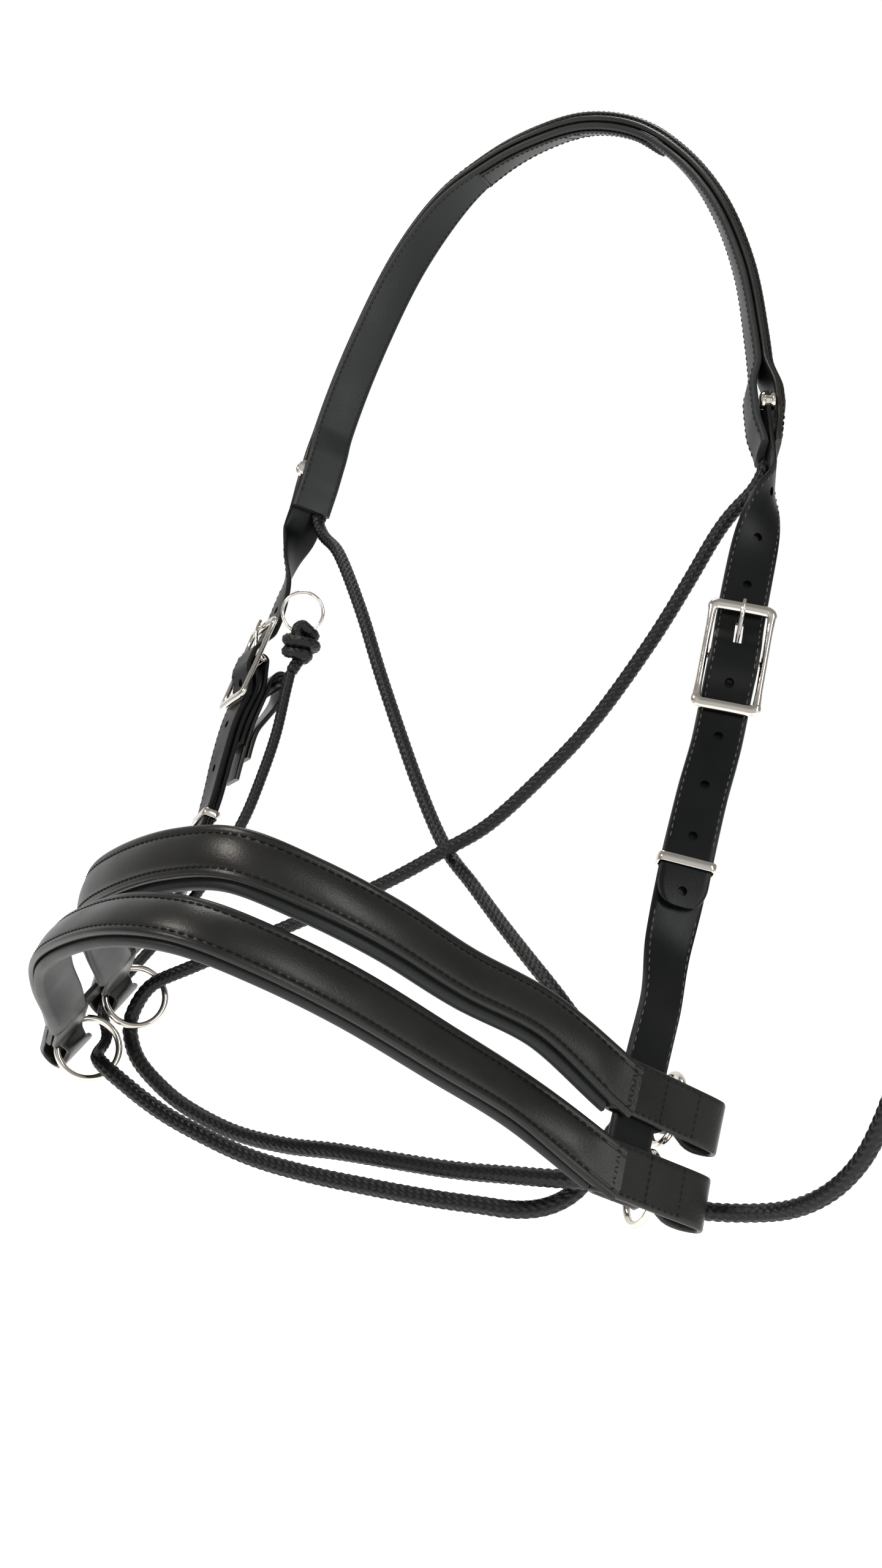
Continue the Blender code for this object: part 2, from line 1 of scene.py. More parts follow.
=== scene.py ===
"""Visual model of the bitless cross-under hackamore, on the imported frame.

Row frame in metres: +Z up, -Y towards the horse's nose, +X the near side. Lists named mm are in
millimetres from the crown's middle, which lies SEAT above the frame's origin.
"""

import json
import math

import bmesh
import bpy
import numpy as np
from mathutils import Vector
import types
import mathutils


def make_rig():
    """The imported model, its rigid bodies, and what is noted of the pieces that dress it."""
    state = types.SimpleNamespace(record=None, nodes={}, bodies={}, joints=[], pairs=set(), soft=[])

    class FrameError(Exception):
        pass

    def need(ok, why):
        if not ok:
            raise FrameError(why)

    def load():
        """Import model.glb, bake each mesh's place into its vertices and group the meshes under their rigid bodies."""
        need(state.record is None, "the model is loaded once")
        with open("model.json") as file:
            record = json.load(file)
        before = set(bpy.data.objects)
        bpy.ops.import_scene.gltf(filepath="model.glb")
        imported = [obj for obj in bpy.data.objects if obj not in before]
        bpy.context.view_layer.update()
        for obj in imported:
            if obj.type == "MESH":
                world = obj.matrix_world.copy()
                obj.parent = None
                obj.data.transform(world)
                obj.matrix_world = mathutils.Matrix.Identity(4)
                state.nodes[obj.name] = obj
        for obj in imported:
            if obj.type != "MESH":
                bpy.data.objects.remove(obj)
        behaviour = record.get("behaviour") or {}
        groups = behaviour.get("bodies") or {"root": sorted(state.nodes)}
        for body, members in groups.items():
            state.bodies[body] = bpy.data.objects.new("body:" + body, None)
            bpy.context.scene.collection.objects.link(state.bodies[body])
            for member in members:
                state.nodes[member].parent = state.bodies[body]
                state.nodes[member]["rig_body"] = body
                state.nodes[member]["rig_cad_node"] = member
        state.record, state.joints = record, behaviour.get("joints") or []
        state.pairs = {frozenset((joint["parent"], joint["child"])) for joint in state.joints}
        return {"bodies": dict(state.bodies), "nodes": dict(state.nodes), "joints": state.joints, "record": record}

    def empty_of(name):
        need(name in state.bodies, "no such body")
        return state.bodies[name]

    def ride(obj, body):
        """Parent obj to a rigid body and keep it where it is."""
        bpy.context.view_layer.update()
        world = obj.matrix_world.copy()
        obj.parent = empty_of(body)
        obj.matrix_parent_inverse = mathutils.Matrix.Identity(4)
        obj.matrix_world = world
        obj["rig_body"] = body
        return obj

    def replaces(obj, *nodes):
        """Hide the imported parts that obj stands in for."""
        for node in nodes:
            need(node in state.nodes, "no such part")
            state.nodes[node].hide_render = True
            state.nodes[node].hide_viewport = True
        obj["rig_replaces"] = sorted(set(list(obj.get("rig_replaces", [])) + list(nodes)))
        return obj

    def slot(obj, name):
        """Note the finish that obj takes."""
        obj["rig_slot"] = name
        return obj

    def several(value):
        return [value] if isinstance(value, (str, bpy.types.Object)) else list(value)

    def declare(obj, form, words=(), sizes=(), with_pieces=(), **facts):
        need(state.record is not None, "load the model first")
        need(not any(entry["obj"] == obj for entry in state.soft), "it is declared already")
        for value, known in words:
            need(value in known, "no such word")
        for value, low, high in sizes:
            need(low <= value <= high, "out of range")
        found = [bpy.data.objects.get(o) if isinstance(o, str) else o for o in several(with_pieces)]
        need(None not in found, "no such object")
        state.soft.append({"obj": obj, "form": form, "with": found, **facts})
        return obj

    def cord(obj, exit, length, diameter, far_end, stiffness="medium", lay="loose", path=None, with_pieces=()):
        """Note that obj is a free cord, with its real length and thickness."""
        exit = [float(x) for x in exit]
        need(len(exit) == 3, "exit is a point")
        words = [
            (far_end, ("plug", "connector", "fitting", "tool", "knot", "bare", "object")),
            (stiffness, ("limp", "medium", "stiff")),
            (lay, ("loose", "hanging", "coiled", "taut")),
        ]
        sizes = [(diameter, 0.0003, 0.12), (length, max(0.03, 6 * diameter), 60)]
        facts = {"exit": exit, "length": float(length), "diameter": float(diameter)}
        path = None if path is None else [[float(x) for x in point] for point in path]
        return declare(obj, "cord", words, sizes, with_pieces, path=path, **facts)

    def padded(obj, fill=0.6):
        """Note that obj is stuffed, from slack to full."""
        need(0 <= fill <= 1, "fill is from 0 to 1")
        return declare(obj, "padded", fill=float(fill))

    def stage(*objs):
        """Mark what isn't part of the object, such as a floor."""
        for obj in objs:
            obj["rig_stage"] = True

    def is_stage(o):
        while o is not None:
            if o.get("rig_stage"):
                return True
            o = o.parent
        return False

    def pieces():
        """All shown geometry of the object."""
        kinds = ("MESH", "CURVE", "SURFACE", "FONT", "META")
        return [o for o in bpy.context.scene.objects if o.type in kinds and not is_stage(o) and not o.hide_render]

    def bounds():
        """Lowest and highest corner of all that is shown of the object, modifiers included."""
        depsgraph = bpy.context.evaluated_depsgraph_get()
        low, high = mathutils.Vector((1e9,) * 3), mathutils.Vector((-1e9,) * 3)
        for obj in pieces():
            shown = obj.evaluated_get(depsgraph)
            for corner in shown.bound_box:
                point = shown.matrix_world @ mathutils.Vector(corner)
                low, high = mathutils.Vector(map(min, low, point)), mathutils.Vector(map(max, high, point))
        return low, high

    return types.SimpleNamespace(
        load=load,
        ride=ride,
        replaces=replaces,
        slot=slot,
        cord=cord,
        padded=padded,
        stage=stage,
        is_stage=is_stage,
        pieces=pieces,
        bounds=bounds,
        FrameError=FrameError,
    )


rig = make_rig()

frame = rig.load()
cad_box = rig.bounds()
scene = bpy.context.scene
scene.view_settings.view_transform = "Standard"

STRAP = 0.0200  # width of the crown, cheeks and end bands
HALF = STRAP / 2
LEATHER = 0.0024  # thickness of the cheeks' leather
NOSE_W = 0.0190
NOSE_T = 0.0030
PAD_W = 0.0205
PAD_T = 0.0040
CROWN_T = 0.0028
LINING_T = 0.0030
BAND_T = 0.0022
GAP = 0.0003  # between neighbouring pieces
SEAT = 0.0057
LOWER = LEATHER + 0.0008  # how far a lower strap lies behind its billet
EDGE = 0.0016  # from a strap's edge to its pressed line
NOSE_RING_R, NOSE_RING_WIRE = 0.0135, 0.0015
REIN_RING_R, REIN_RING_WIRE = 0.0098, 0.0008
THREAD = (0.0024, 0.00036)  # a stitch's length and its thread's radius
STRIP_THREAD = (0.0023, 0.00034)
FINE_THREAD = (0.0022, 0.00023)
BAND_THREAD = (0.0024, 0.00045)
ZIGZAG_THREAD = (0.0038, 0.00048)
ROPE_STEP = 0.0007  # between the rows of a rope's mesh
SIDES = (("near", 1), ("far", -1))
ROOT = "headstall"

# ---------------------------------------------------------------- camera
camera = bpy.data.objects.new("camera", bpy.data.cameras.new("camera"))
scene.collection.objects.link(camera)
camera.location = (0.403, -0.735, -0.3283)
camera.rotation_euler = (math.radians(90), 0, math.radians(34))
camera.data.lens = 37.97
camera.data.sensor_width = 36
camera.data.clip_start = 0.01
scene.camera = camera


# ---------------------------------------------------------------- geometry helpers
def mm(points):
    """Listed points in metres from the frame's origin."""
    return np.array(points, float) / 1000 + np.array([0, 0, SEAT])


def unit(v):
    v = np.asarray(v, float)
    return v / np.linalg.norm(v, axis=-1, keepdims=True)


def az(degrees, z=0.0):
    """A direction by its bearing, with its upward part."""
    a = math.radians(degrees)
    return (math.cos(a), math.sin(a), z)


def ramp(x, marks):
    """The value at x on a smooth line through marks, (x, value) pairs."""
    for (xa, ya), (xb, yb) in zip(marks, marks[1:]):
        if x <= xb:
            t = min(max((x - xa) / (xb - xa), 0), 1)
            return ya + (yb - ya) * t * t * (3 - 2 * t)
    return marks[-1][1]


def curve_through(points, n=12):
    """A smooth line through points (Catmull-Rom), n steps a span."""
    p = np.asarray(points, float)
    p = np.vstack([2 * p[0] - p[1], p, 2 * p[-1] - p[-2]])
    out = []
    for i in range(1, len(p) - 2):
        a, b, c, d = p[i - 1 : i + 3]
        for k in range(n):
            t = k / n
            out.append(
                0.5 * (2 * b + (c - a) * t + (2 * a - 5 * b + 4 * c - d) * t * t)
                + 0.5 * (3 * b - a - 3 * c + d) * t**3
            )
    out.append(p[-2])
    return np.array(out)


def even(points, step):
    """Points about step apart along a line."""
    p = np.asarray(points, float)
    s = np.concatenate([[0], np.cumsum(np.linalg.norm(np.diff(p, axis=0), axis=1))])
    at = np.linspace(0, s[-1], max(3, round(s[-1] / step) + 1))
    return np.stack([np.interp(at, s, p[:, k]) for k in range(p.shape[1])], axis=1)


class Track:
    """A strap's path: places, and at each the directions along (t), across (w) and outward (n)."""

    def __init__(self, points, across, outward=1):
        both = curve_through(np.hstack([np.asarray(points, float), unit(across)]))
        self.p = both[:, :3]
        step = np.linalg.norm(np.diff(self.p, axis=0), axis=1)
        self.s = np.concatenate([[0], np.cumsum(step)])
        self.length = self.s[-1]
        t = unit(np.gradient(self.p, self.s, axis=0))
        w = both[:, 3:]
        self.w = unit(w - (w * t).sum(1)[:, None] * t)
        self.t = t
        self.n = np.cross(self.w, t) * outward

    def at(self, s):
        s = float(s)
        inside = min(max(s, 0.0), self.length)
        f = [
            np.array([np.interp(inside, self.s, a[:, k]) for k in range(3)])
            for a in (self.p, self.t, self.w, self.n)
        ]
        return f[0] + unit(f[1]) * (s - inside), unit(f[1]), unit(f[2]), unit(f[3])

    def point(self, s, w=0.0, v=0.0):
        p, _, across, out = self.at(s)
        return p + across * w + out * v


def add(name, verts, faces, mat, body=ROOT, smooth=True, angle=50):
    """A mesh object with its material, riding on its body."""
    mesh = bpy.data.meshes.new(name)
    mesh.from_pydata([tuple(v) for v in verts], [], faces)
    bm = bmesh.new()
    bm.from_mesh(mesh)
    bmesh.ops.recalc_face_normals(bm, faces=bm.faces)
    bm.to_mesh(mesh)
    bm.free()
    obj = bpy.data.objects.new(name, mesh)
    scene.collection.objects.link(obj)
    mesh.materials.append(mat)
    finish_mesh(obj, smooth, angle)
    if body:
        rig.ride(obj, body)
    return obj


def finish_mesh(obj, smooth=True, angle=50):
    mesh = obj.data
    mesh.polygons.foreach_set("use_smooth", [smooth] * len(mesh.polygons))
    if smooth:
        mesh.set_sharp_from_angle(angle=math.radians(angle))
    mesh.update()


def loft(name, rows, mat, closed=False, body=ROOT, angle=50):
    """A solid through rows of points, with every row going the same way round."""
    rows = np.asarray(rows, float)
    count, around = rows.shape[:2]
    faces = []
    for i in range(count if closed else count - 1):
        a, b = i * around, (i + 1) % count * around
        for k in range(around):
            m = (k + 1) % around
            faces.append((a + k, a + m, b + m, b + k))
    if not closed:
        faces.append(tuple(range(around)))
        faces.append(tuple(range((count - 1) * around, count * around)))
    return add(name, rows.reshape(-1, 3), faces, mat, body, angle=angle)


def profile(half, thick, top=None, under=None, r=None, marks=()):
    """A strap's section as (w, v) points: rounded edges, with top(w) and under(w) added."""
    r = min(thick * 0.45, half * 0.5) if r is None else r
    ws = sorted({*np.linspace(-(half - r), half - r, 13), *marks, *(-m for m in marks)})
    out = [(w, thick / 2 + (top(w) if top else 0)) for w in ws]
    for k in (0.25, 0.5, 0.75):
        a = math.pi * k
        out.append((half - r + r * math.sin(a), thick / 2 * math.cos(a)))
    out += [(w, -thick / 2 - (under(w) if under else 0)) for w in reversed(ws)]
    for k in (0.25, 0.5, 0.75):
        a = math.pi * k
        out.append((-(half - r) - r * math.sin(a), -thick / 2 * math.cos(a)))
    return out


def crease(half, inset=EDGE, depth=0.00022, wide=0.00032):
    """A line pressed into the face along both edges."""
    return lambda w: -depth * math.exp(-(((abs(w) - (half - inset)) / wide) ** 2))


def band_rows(places, across, normals, section):
    """Rows for loft from a line with its directions; section(i) gives that row's profile."""
    return [
        [p + w * a + n * b for a, b in section(i)]
        for i, (p, w, n) in enumerate(zip(places, across, normals))
    ]


def strap(name, track, s_rows, section, lift, mat):
    """A flat strap along a track; lift is how far it lies outward from the track."""
    rows = []
    for s in s_rows:
        p, _, w, n = track.at(s)
        v = lift(s) if callable(lift) else lift
        rows.append([p + w * a + n * (b + v) for a, b in section(s)])
    return loft(name, rows, mat)


def angles(count):
    """Angles evenly round a circle."""
    return np.arange(count) * 2 * math.pi / count


def frames(line):
    """Two directions square to a line, carried along it without twisting."""
    t = unit(np.gradient(line, axis=0))
    a = np.empty_like(line)
    a[0] = unit(np.cross(t[0], (0.3, 0.2, 0.93)))
    for i in range(1, len(line)):
        a[i] = unit(a[i - 1] - np.dot(a[i - 1], t[i]) * t[i])
    return a, np.cross(t, a)


def sweep(name, line, radius, mat, around=12, body=ROOT):
    """A round wire along a line; radius is a number or one number a point."""
    line = np.asarray(line, float)
    r = np.broadcast_to(radius, len(line))
    a, b = frames(line)
    k = angles(around)
    rows = line[:, None] + r[:, None, None] * (
        np.cos(k)[None, :, None] * a[:, None] + np.sin(k)[None, :, None] * b[:, None]
    )
    return loft(name, rows, mat, body=body)


def braid(name, line, radius_at, mat, step=ROPE_STEP, around=48):
    """A braided rope along a line: strands of both hands passing over two and under two."""
    lanes, cell, usual = 8, 0.0034, 0.0035  # strands a hand, and a cell's length at a usual radius
    line = even(line, step)
    s = np.concatenate([[0], np.cumsum(np.linalg.norm(np.diff(line, axis=0), axis=1))])
    a, b = frames(line)
    theta = np.meshgrid(angles(around), s)[0]
    radius = np.array([radius_at(x) for x in s / s[-1]])[:, None]
    pitch = cell * radius / usual
    along = np.cumsum(np.gradient(s)[:, None] / pitch, axis=0)
    p = theta * lanes / (2 * math.pi) + along
    q = theta * lanes / (2 * math.pi) - along
    over = (np.floor(p) + np.floor(q)) % 4 < 2
    side = np.where(over, p - np.floor(p), q - np.floor(q)) - 0.5
    run = np.where(over, (np.floor(p) + q) % 4, (np.floor(q) + p) % 4 - 2) / 2 - 0.5
    high = np.sqrt(np.clip(np.cos(math.pi * side), 0, 1)) * (0.45 + 0.55 * np.cos(math.pi * run))
    # the ends are rounded off
    end = np.minimum(s, s[-1] - s)[:, None]
    tip = np.sqrt(np.clip(1 - np.clip(1 - end / (radius * 0.8), 0, 1) ** 2, 0.03, 1))
    r = radius * tip * (0.80 + 0.22 * high)
    rows = line[:, None] + r[..., None] * (
        np.cos(theta)[..., None] * a[:, None] + np.sin(theta)[..., None] * b[:, None]
    )
    return loft(name, rows, mat, angle=80), line


def ring_rows(centre, one, two, radius, wire, count, around):
    """Rows for loft of a round ring in the plane of two directions; wire is its wire's radius."""
    normal = np.cross(one, two)
    rows = []
    for x in angles(count):
        radial = one * math.cos(x) + two * math.sin(x)
        rows.append([centre + radial * radius
                     + wire * (radial * math.cos(a) + normal * math.sin(a))
                     for a in angles(around)])
    return rows


def ways(outline):
    """The direction along a closed outline at each of its points."""
    p = np.array(outline)
    return unit(np.roll(p, -1, 0) - np.roll(p, 1, 0))


CAPSULE = [(-1.0, 0.35), (-0.8, 0.85), (0.0, 1.0), (0.8, 0.85), (1.0, 0.35)]


def dressed(obj, slot, *nodes):
    """Names the slot of obj and the CAD nodes that it replaces."""
    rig.slot(obj, slot)
    if nodes:
        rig.replaces(obj, *nodes)
    return obj


def stitches(name, seats, thread, mat):
    """Thread stitches as one mesh; seats are (place, along, normal) each."""
    length, radius = thread
    sink = 0.3  # how far a stitch lies in the leather, in radii
    verts, faces = [], []
    for p, t, n in seats:
        t, n = unit(t), unit(n)
        b = np.cross(t, n)
        start = len(verts)
        for x, k in CAPSULE:
            for j in range(6):
                a = 2 * math.pi * j / 6
                dip = n * radius * (0.5 - 0.9 * x * x - sink)
                verts.append(
                    p + t * x * length / 2 + dip + (n * math.sin(a) + b * math.cos(a)) * radius * k
                )
        for i in range(len(CAPSULE) - 1):
            for j in range(6):
                m = (j + 1) % 6
                u, v = start + i * 6, start + (i + 1) * 6
                faces.append((u + j, u + m, v + m, v + j))
        faces.append(tuple(start + j for j in range(6)))
        last = start + 6 * (len(CAPSULE) - 1)
        faces.append(tuple(last + j for j in range(6)))
    return add(name, verts, faces, mat, angle=80)


def along_track(track, s0, s1, w, v, pitch):
    """Seats of a row of stitches along a track."""
    seats = []
    for s in np.arange(s0, s1, pitch):
        p, t, across, n = track.at(s)
        lift = v(s) if callable(v) else v
        seats.append((p + across * w + n * lift, t, n))
    return seats


def zigzag(track, s_mid, amp, half, v, turns):
    """Seats of a zigzag row across a strap."""
    seats = []
    for k in range(turns):
        w0 = -half + 2 * half * k / turns
        w1 = -half + 2 * half * (k + 1) / turns
        sa, sb = (s_mid - amp, s_mid + amp) if k % 2 else (s_mid + amp, s_mid - amp)
        a, b = track.point(sa, w0, v), track.point(sb, w1, v)
        seats.append(((a + b) / 2, b - a, track.at(s_mid)[3]))
    return seats


def carve(obj, tools):
    """Cuts tools out of obj, then removes them."""
    for tool in tools:
        m = obj.modifiers.new("carve", "BOOLEAN")
        m.operation = "DIFFERENCE"
        m.solver = "EXACT"
        m.object = tool
    graph = bpy.context.evaluated_depsgraph_get()
    mesh = bpy.data.meshes.new_from_object(obj.evaluated_get(graph))
    obj.modifiers.clear()
    obj.data = mesh
    for tool in tools:
        bpy.data.objects.remove(tool)
    finish_mesh(obj, angle=40)


def bore(place, axis, radius, length, sides=24):
    """A round cutting tool."""
    bm = bmesh.new()
    bmesh.ops.create_cone(
        bm, cap_ends=True, segments=sides, radius1=radius, radius2=radius, depth=length
    )
    turn = Vector((0, 0, 1)).rotation_difference(Vector(axis)).to_matrix()
    bmesh.ops.rotate(bm, verts=bm.verts, matrix=turn)
    bmesh.ops.translate(bm, verts=bm.verts, vec=Vector(place))
    return tool_from(bm)


def block(place, axes, size):
    """A cutting tool with square corners; axes are its first two directions."""
    bm = bmesh.new()
    bmesh.ops.create_cube(bm, size=1)
    t, w = (np.array(a) for a in axes[:2])
    n = np.cross(t, w)
    for v in bm.verts:
        x, y, z = (c * k for c, k in zip(v.co, size))
        v.co = Vector(np.array(place) + t * x + w * y + n * z)
    return tool_from(bm)


def tool_from(bm):
    """An object from bm, for carve."""
    mesh = bpy.data.meshes.new("tool")
    bm.to_mesh(mesh)
    bm.free()
    obj = bpy.data.objects.new("tool", mesh)
    scene.collection.objects.link(obj)
    return obj


def trim(obj, place, normal):
    """Cuts off what lies beyond a plane and closes the end."""
    bm = bmesh.new()
    bm.from_mesh(obj.data)
    geom = [*bm.verts, *bm.edges, *bm.faces]
    found = bmesh.ops.bisect_plane(
        bm, geom=geom, plane_co=Vector(place), plane_no=Vector(normal), clear_outer=True
    )
    edges = [e for e in found["geom_cut"] if isinstance(e, bmesh.types.BMEdge)]
    bmesh.ops.contextual_create(bm, geom=edges)
    bm.to_mesh(obj.data)
    bm.free()
    finish_mesh(obj)


# ---------------------------------------------------------------- materials
def new_material(name):
    m = bpy.data.materials.new(name)
    m.use_nodes = True
    return m, m.node_tree, m.node_tree.nodes["Principled BSDF"]


def node(tree, kind, inputs=None, **settings):
    """A new node; an input is a value, or the socket that feeds it."""
    n = tree.nodes.new("ShaderNode" + kind)
    for key, value in settings.items():
        setattr(n, key, value)
    for key, value in (inputs or {}).items():
        if isinstance(value, bpy.types.NodeSocket):
            tree.links.new(value, n.inputs[key])
        else:
            n.inputs[key].default_value = value
    return n


def leather(name, colour, tint, rough, grain, bump, gloss_level=0.30):
    """Grained leather: cells in the bump, slow changes in colour and gloss, and worn edges."""
    m, tree, shader = new_material(name)
    where = node(tree, "TexCoord").outputs["Object"]
    cells = node(tree, "TexVoronoi", {"Vector": where, "Scale": grain},
                 feature="SMOOTH_F1")
    fine = node(tree, "TexNoise", {"Vector": where, "Scale": grain * 2.3, "Detail": 4.0})
    slow = node(tree, "TexNoise", {"Vector": where, "Scale": 38.0, "Detail": 3.0})
    height = node(tree, "Math", {0: cells.outputs["Distance"], 1: fine.outputs["Fac"]},
                  operation="ADD")
    bumps = node(tree, "Bump", {"Height": height.outputs[0], "Strength": bump,
                                          "Distance": 0.00012})
    mix = node(tree, "Mix", {"Factor": slow.outputs["Fac"], "A": (*colour, 1),
                                       "B": (*tint, 1)}, data_type="RGBA")
    edge = node(tree, "NewGeometry").outputs["Pointiness"]
    worn = node(tree, "MapRange", {"Value": edge, "From Min": 0.54, "From Max": 0.66,
                                             "To Min": 0.0, "To Max": 0.7})
    rim = node(tree, "Mix", {"Factor": worn.outputs["Result"],
                                       "A": mix.outputs["Result"], "B": (0.030, 0.030, 0.028, 1)},
               data_type="RGBA")
    gloss = node(tree, "MapRange", {"Value": slow.outputs["Fac"], "From Min": 0.3,
                                              "From Max": 0.7, "To Min": rough - 0.05,
                                              "To Max": rough + 0.07})
    tree.links.new(rim.outputs["Result"], shader.inputs["Base Color"])
    tree.links.new(gloss.outputs["Result"], shader.inputs["Roughness"])
    tree.links.new(bumps.outputs["Normal"], shader.inputs["Normal"])
    shader.inputs["Specular IOR Level"].default_value = gloss_level
    return m


def fibre(name, colour, rough, scale, bump):
    """Fibres of rope and thread: fine noise in the colour and the bump."""
    m, tree, shader = new_material(name)
    where = node(tree, "TexCoord").outputs["Object"]
    fine = node(tree, "TexNoise", {"Vector": where, "Scale": scale, "Detail": 5.0})
    bumps = node(tree, "Bump", {"Height": fine.outputs["Fac"], "Strength": bump,
                                          "Distance": 0.0002})
    dark = tuple(c * 0.6 for c in colour)
    mix = node(tree, "Mix", {"Factor": fine.outputs["Fac"], "A": (*dark, 1),
                                       "B": (*colour, 1)}, data_type="RGBA")
    tree.links.new(mix.outputs["Result"], shader.inputs["Base Color"])
    tree.links.new(bumps.outputs["Normal"], shader.inputs["Normal"])
    shader.inputs["Roughness"].default_value = rough
    shader.inputs["Specular IOR Level"].default_value = 0.32
    return m


STRAP_BLACK = leather("strap_leather", (0.0030, 0.0042, 0.0038), (0.0092, 0.0082, 0.0068), 0.34,
                      1400, 0.35, 0.34)
SMOOTH_BLACK = leather("billet_leather", (0.0016, 0.0026, 0.0022), (0.0036, 0.0046, 0.0042), 0.36,
                       1700, 0.22, 0.16)
PAD_BLACK = leather("pad_leather", (0.0090, 0.0110, 0.0116), (0.0150, 0.0166, 0.0170), 0.46, 1100,
                    0.5, 0.26)
ROPE_BLACK = fibre("rope_fibre", (0.0022, 0.0030, 0.0034), 0.40, 2600, 0.5)
THREAD_BLACK = fibre("thread_black", (0.0012, 0.0011, 0.0010), 0.7, 5000, 0.4)
THREAD_GREY = fibre("thread_grey", (0.090, 0.095, 0.090), 0.7, 5000, 0.4)
CHROME, tree, shader = new_material("chrome_polished")
shader.inputs["Metallic"].default_value = 1.0
where = node(tree, "TexCoord").outputs["Object"]
scuff = node(tree, "TexNoise", {"Vector": where, "Scale": 420.0, "Detail": 4.0})
gloss = node(tree, "MapRange", {"Value": scuff.outputs["Fac"], "From Min": 0.35,
                                          "From Max": 0.75, "To Min": 0.08, "To Max": 0.15})
tree.links.new(gloss.outputs["Result"], shader.inputs["Roughness"])
# The warm tint in the base colour is a painted warm reflection: it stands in for warm surroundings that polished
# chrome would mirror, not a colour of the metal itself.
shader.inputs["Base Color"].default_value = (0.66, 0.62, 0.57, 1)

# ---------------------------------------------------------------- ropes first
ROPE_TOP, ROPE_LOW, ROPE_THIN = 0.0062, 0.0070, 0.0052
ROPE_1_MM = [
    (-118.5, -65.2, -173.5), (-119.5, -69.5, -185), (-119.4, -73.2, -198), (-112, -77.5, -209),
    (-97, -84, -220), (-75, -95, -251), (-56, -104, -285), (-27, -117, -333), (-5, -127, -362),
    (15, -136, -377), (35, -145, -392), (54, -154, -405), (72, -160, -419), (90, -161.5, -438),
    (104, -158, -455), (112.5, -157, -464), (119.1, -161.2, -465.6), (121.5, -165.1, -463.5),
    (119.5, -169, -461.5), (115.4, -171.2, -460.3), (109.5, -172, -460.8), (106.5, -180, -466.5),
    (104.5, -190, -478), (99.5, -197, -486.5), (91, -203, -491.5), (80, -207, -493.2),
    (67, -209, -493), (44, -211, -493), (16, -213, -492), (-13, -216, -490), (-43, -218, -486),
    (-75, -221, -476.5), (-94, -222, -469), (-110, -223, -460.5), (-120, -222.5, -455.5),
    (-126.8, -218.6, -454), (-131.5, -214.1, -453.9), (-135.3, -209.5, -452.7),
    (-136.3, -204.3, -450.3), (-138, -201.5, -445.5), (-143, -200.1, -437.2),
    (-143.7, -194.3, -429.4), (-142, -186.8, -423), (-138, -176, -412), (-125, -168, -395),
    (-108, -162, -371), (-98, -155, -351), (-97, -144, -332), (-97.7, -132, -311),
    (-100.2, -121.6, -290.1), (-100.3, -117.5, -279.5),
]
ROPE_2_MM = [
    (118, -64.5, -171), (121, -68.5, -183), (123.2, -72.9, -198.5), (119.7, -77, -209),
    (112, -80, -217.5), (105, -83.5, -228), (94, -89, -249), (80, -96, -274), (60, -106, -305),
    (42, -115, -327), (19, -127, -351), (1, -136.5, -363), (-20, -147, -376), (-50, -160, -391),
    (-80, -173, -405), (-104, -183, -416), (-121.5, -188, -423.5), (-126.4, -191, -429),
    (-128.4, -194, -435), (-130.9, -194.6, -441.3), (-129.7, -195.5, -447.5), (-123, -198.5, -456),
    (-110.5, -200.5, -464.5), (-92, -201, -474), (-64, -201, -482), (-35, -202, -484),
    (-8, -202.5, -483), (20, -203, -483), (50, -203, -483), (80, -204, -481), (94, -204.5, -480),
    (106, -202.5, -479.5), (115.4, -194.6, -480.5), (122, -187.8, -483.7), (127, -180.5, -488.5),
    (139, -170, -493), (157, -164, -492.5), (174, -165.5, -488), (189, -168, -479),
    (201, -171, -466), (209, -173, -451), (215, -175, -436), (219.5, -175.5, -423),
]


def smoothed(line, reach=0.003, step=ROPE_STEP):
    """The line with its sharp turns rounded over about reach, both ends kept."""
    line = even(line, step)
    k = np.arange(-3 * reach, 3 * reach, step) / reach
    weight = np.exp(-0.5 * k * k)
    pad = len(k)
    long = np.vstack([np.repeat(line[:1], pad, 0), line, np.repeat(line[-1:], pad, 0)])
    soft = np.stack([np.convolve(long[:, c], weight / weight.sum(), "same") for c in range(3)], 1)
    soft = soft[pad:-pad]
    far = np.minimum(np.arange(len(line)), np.arange(len(line))[::-1]) * step
    keep = np.clip(far / (4 * reach), 0, 1)[:, None]
    return line * (1 - keep) + soft * keep


def length_of(line):
    return float(np.linalg.norm(np.diff(line, axis=0), axis=1).sum())


def rope(name, points, marks):
    """A braided rope along listed points; marks are (point number, diameter)."""
    line = curve_through(mm(points), 16)
    far = np.concatenate([[0], np.cumsum(np.linalg.norm(np.diff(line, axis=0), axis=1))])
    share = far / far[-1]

    def radius_at(x):
        return ramp(float(np.interp(x, share, np.arange(len(line)) / 16)), marks) / 2

    return braid(name, smoothed(line), radius_at, ROPE_BLACK)


rope_1, path_1 = rope("rope_far_braid", ROPE_1_MM, [(0, ROPE_TOP), (14, ROPE_TOP), (22, ROPE_LOW),
                                                    (33, ROPE_LOW), (38, ROPE_THIN)])
rope_2, path_2 = rope("rope_near_braid", ROPE_2_MM, [(0, ROPE_TOP), (14, ROPE_TOP),
                                                     (22, ROPE_LOW), (42, ROPE_LOW)])
dressed(rope_1, "rope_black", "rope_far_crown")
dressed(rope_2, "rope_black", "rope_near_crown")


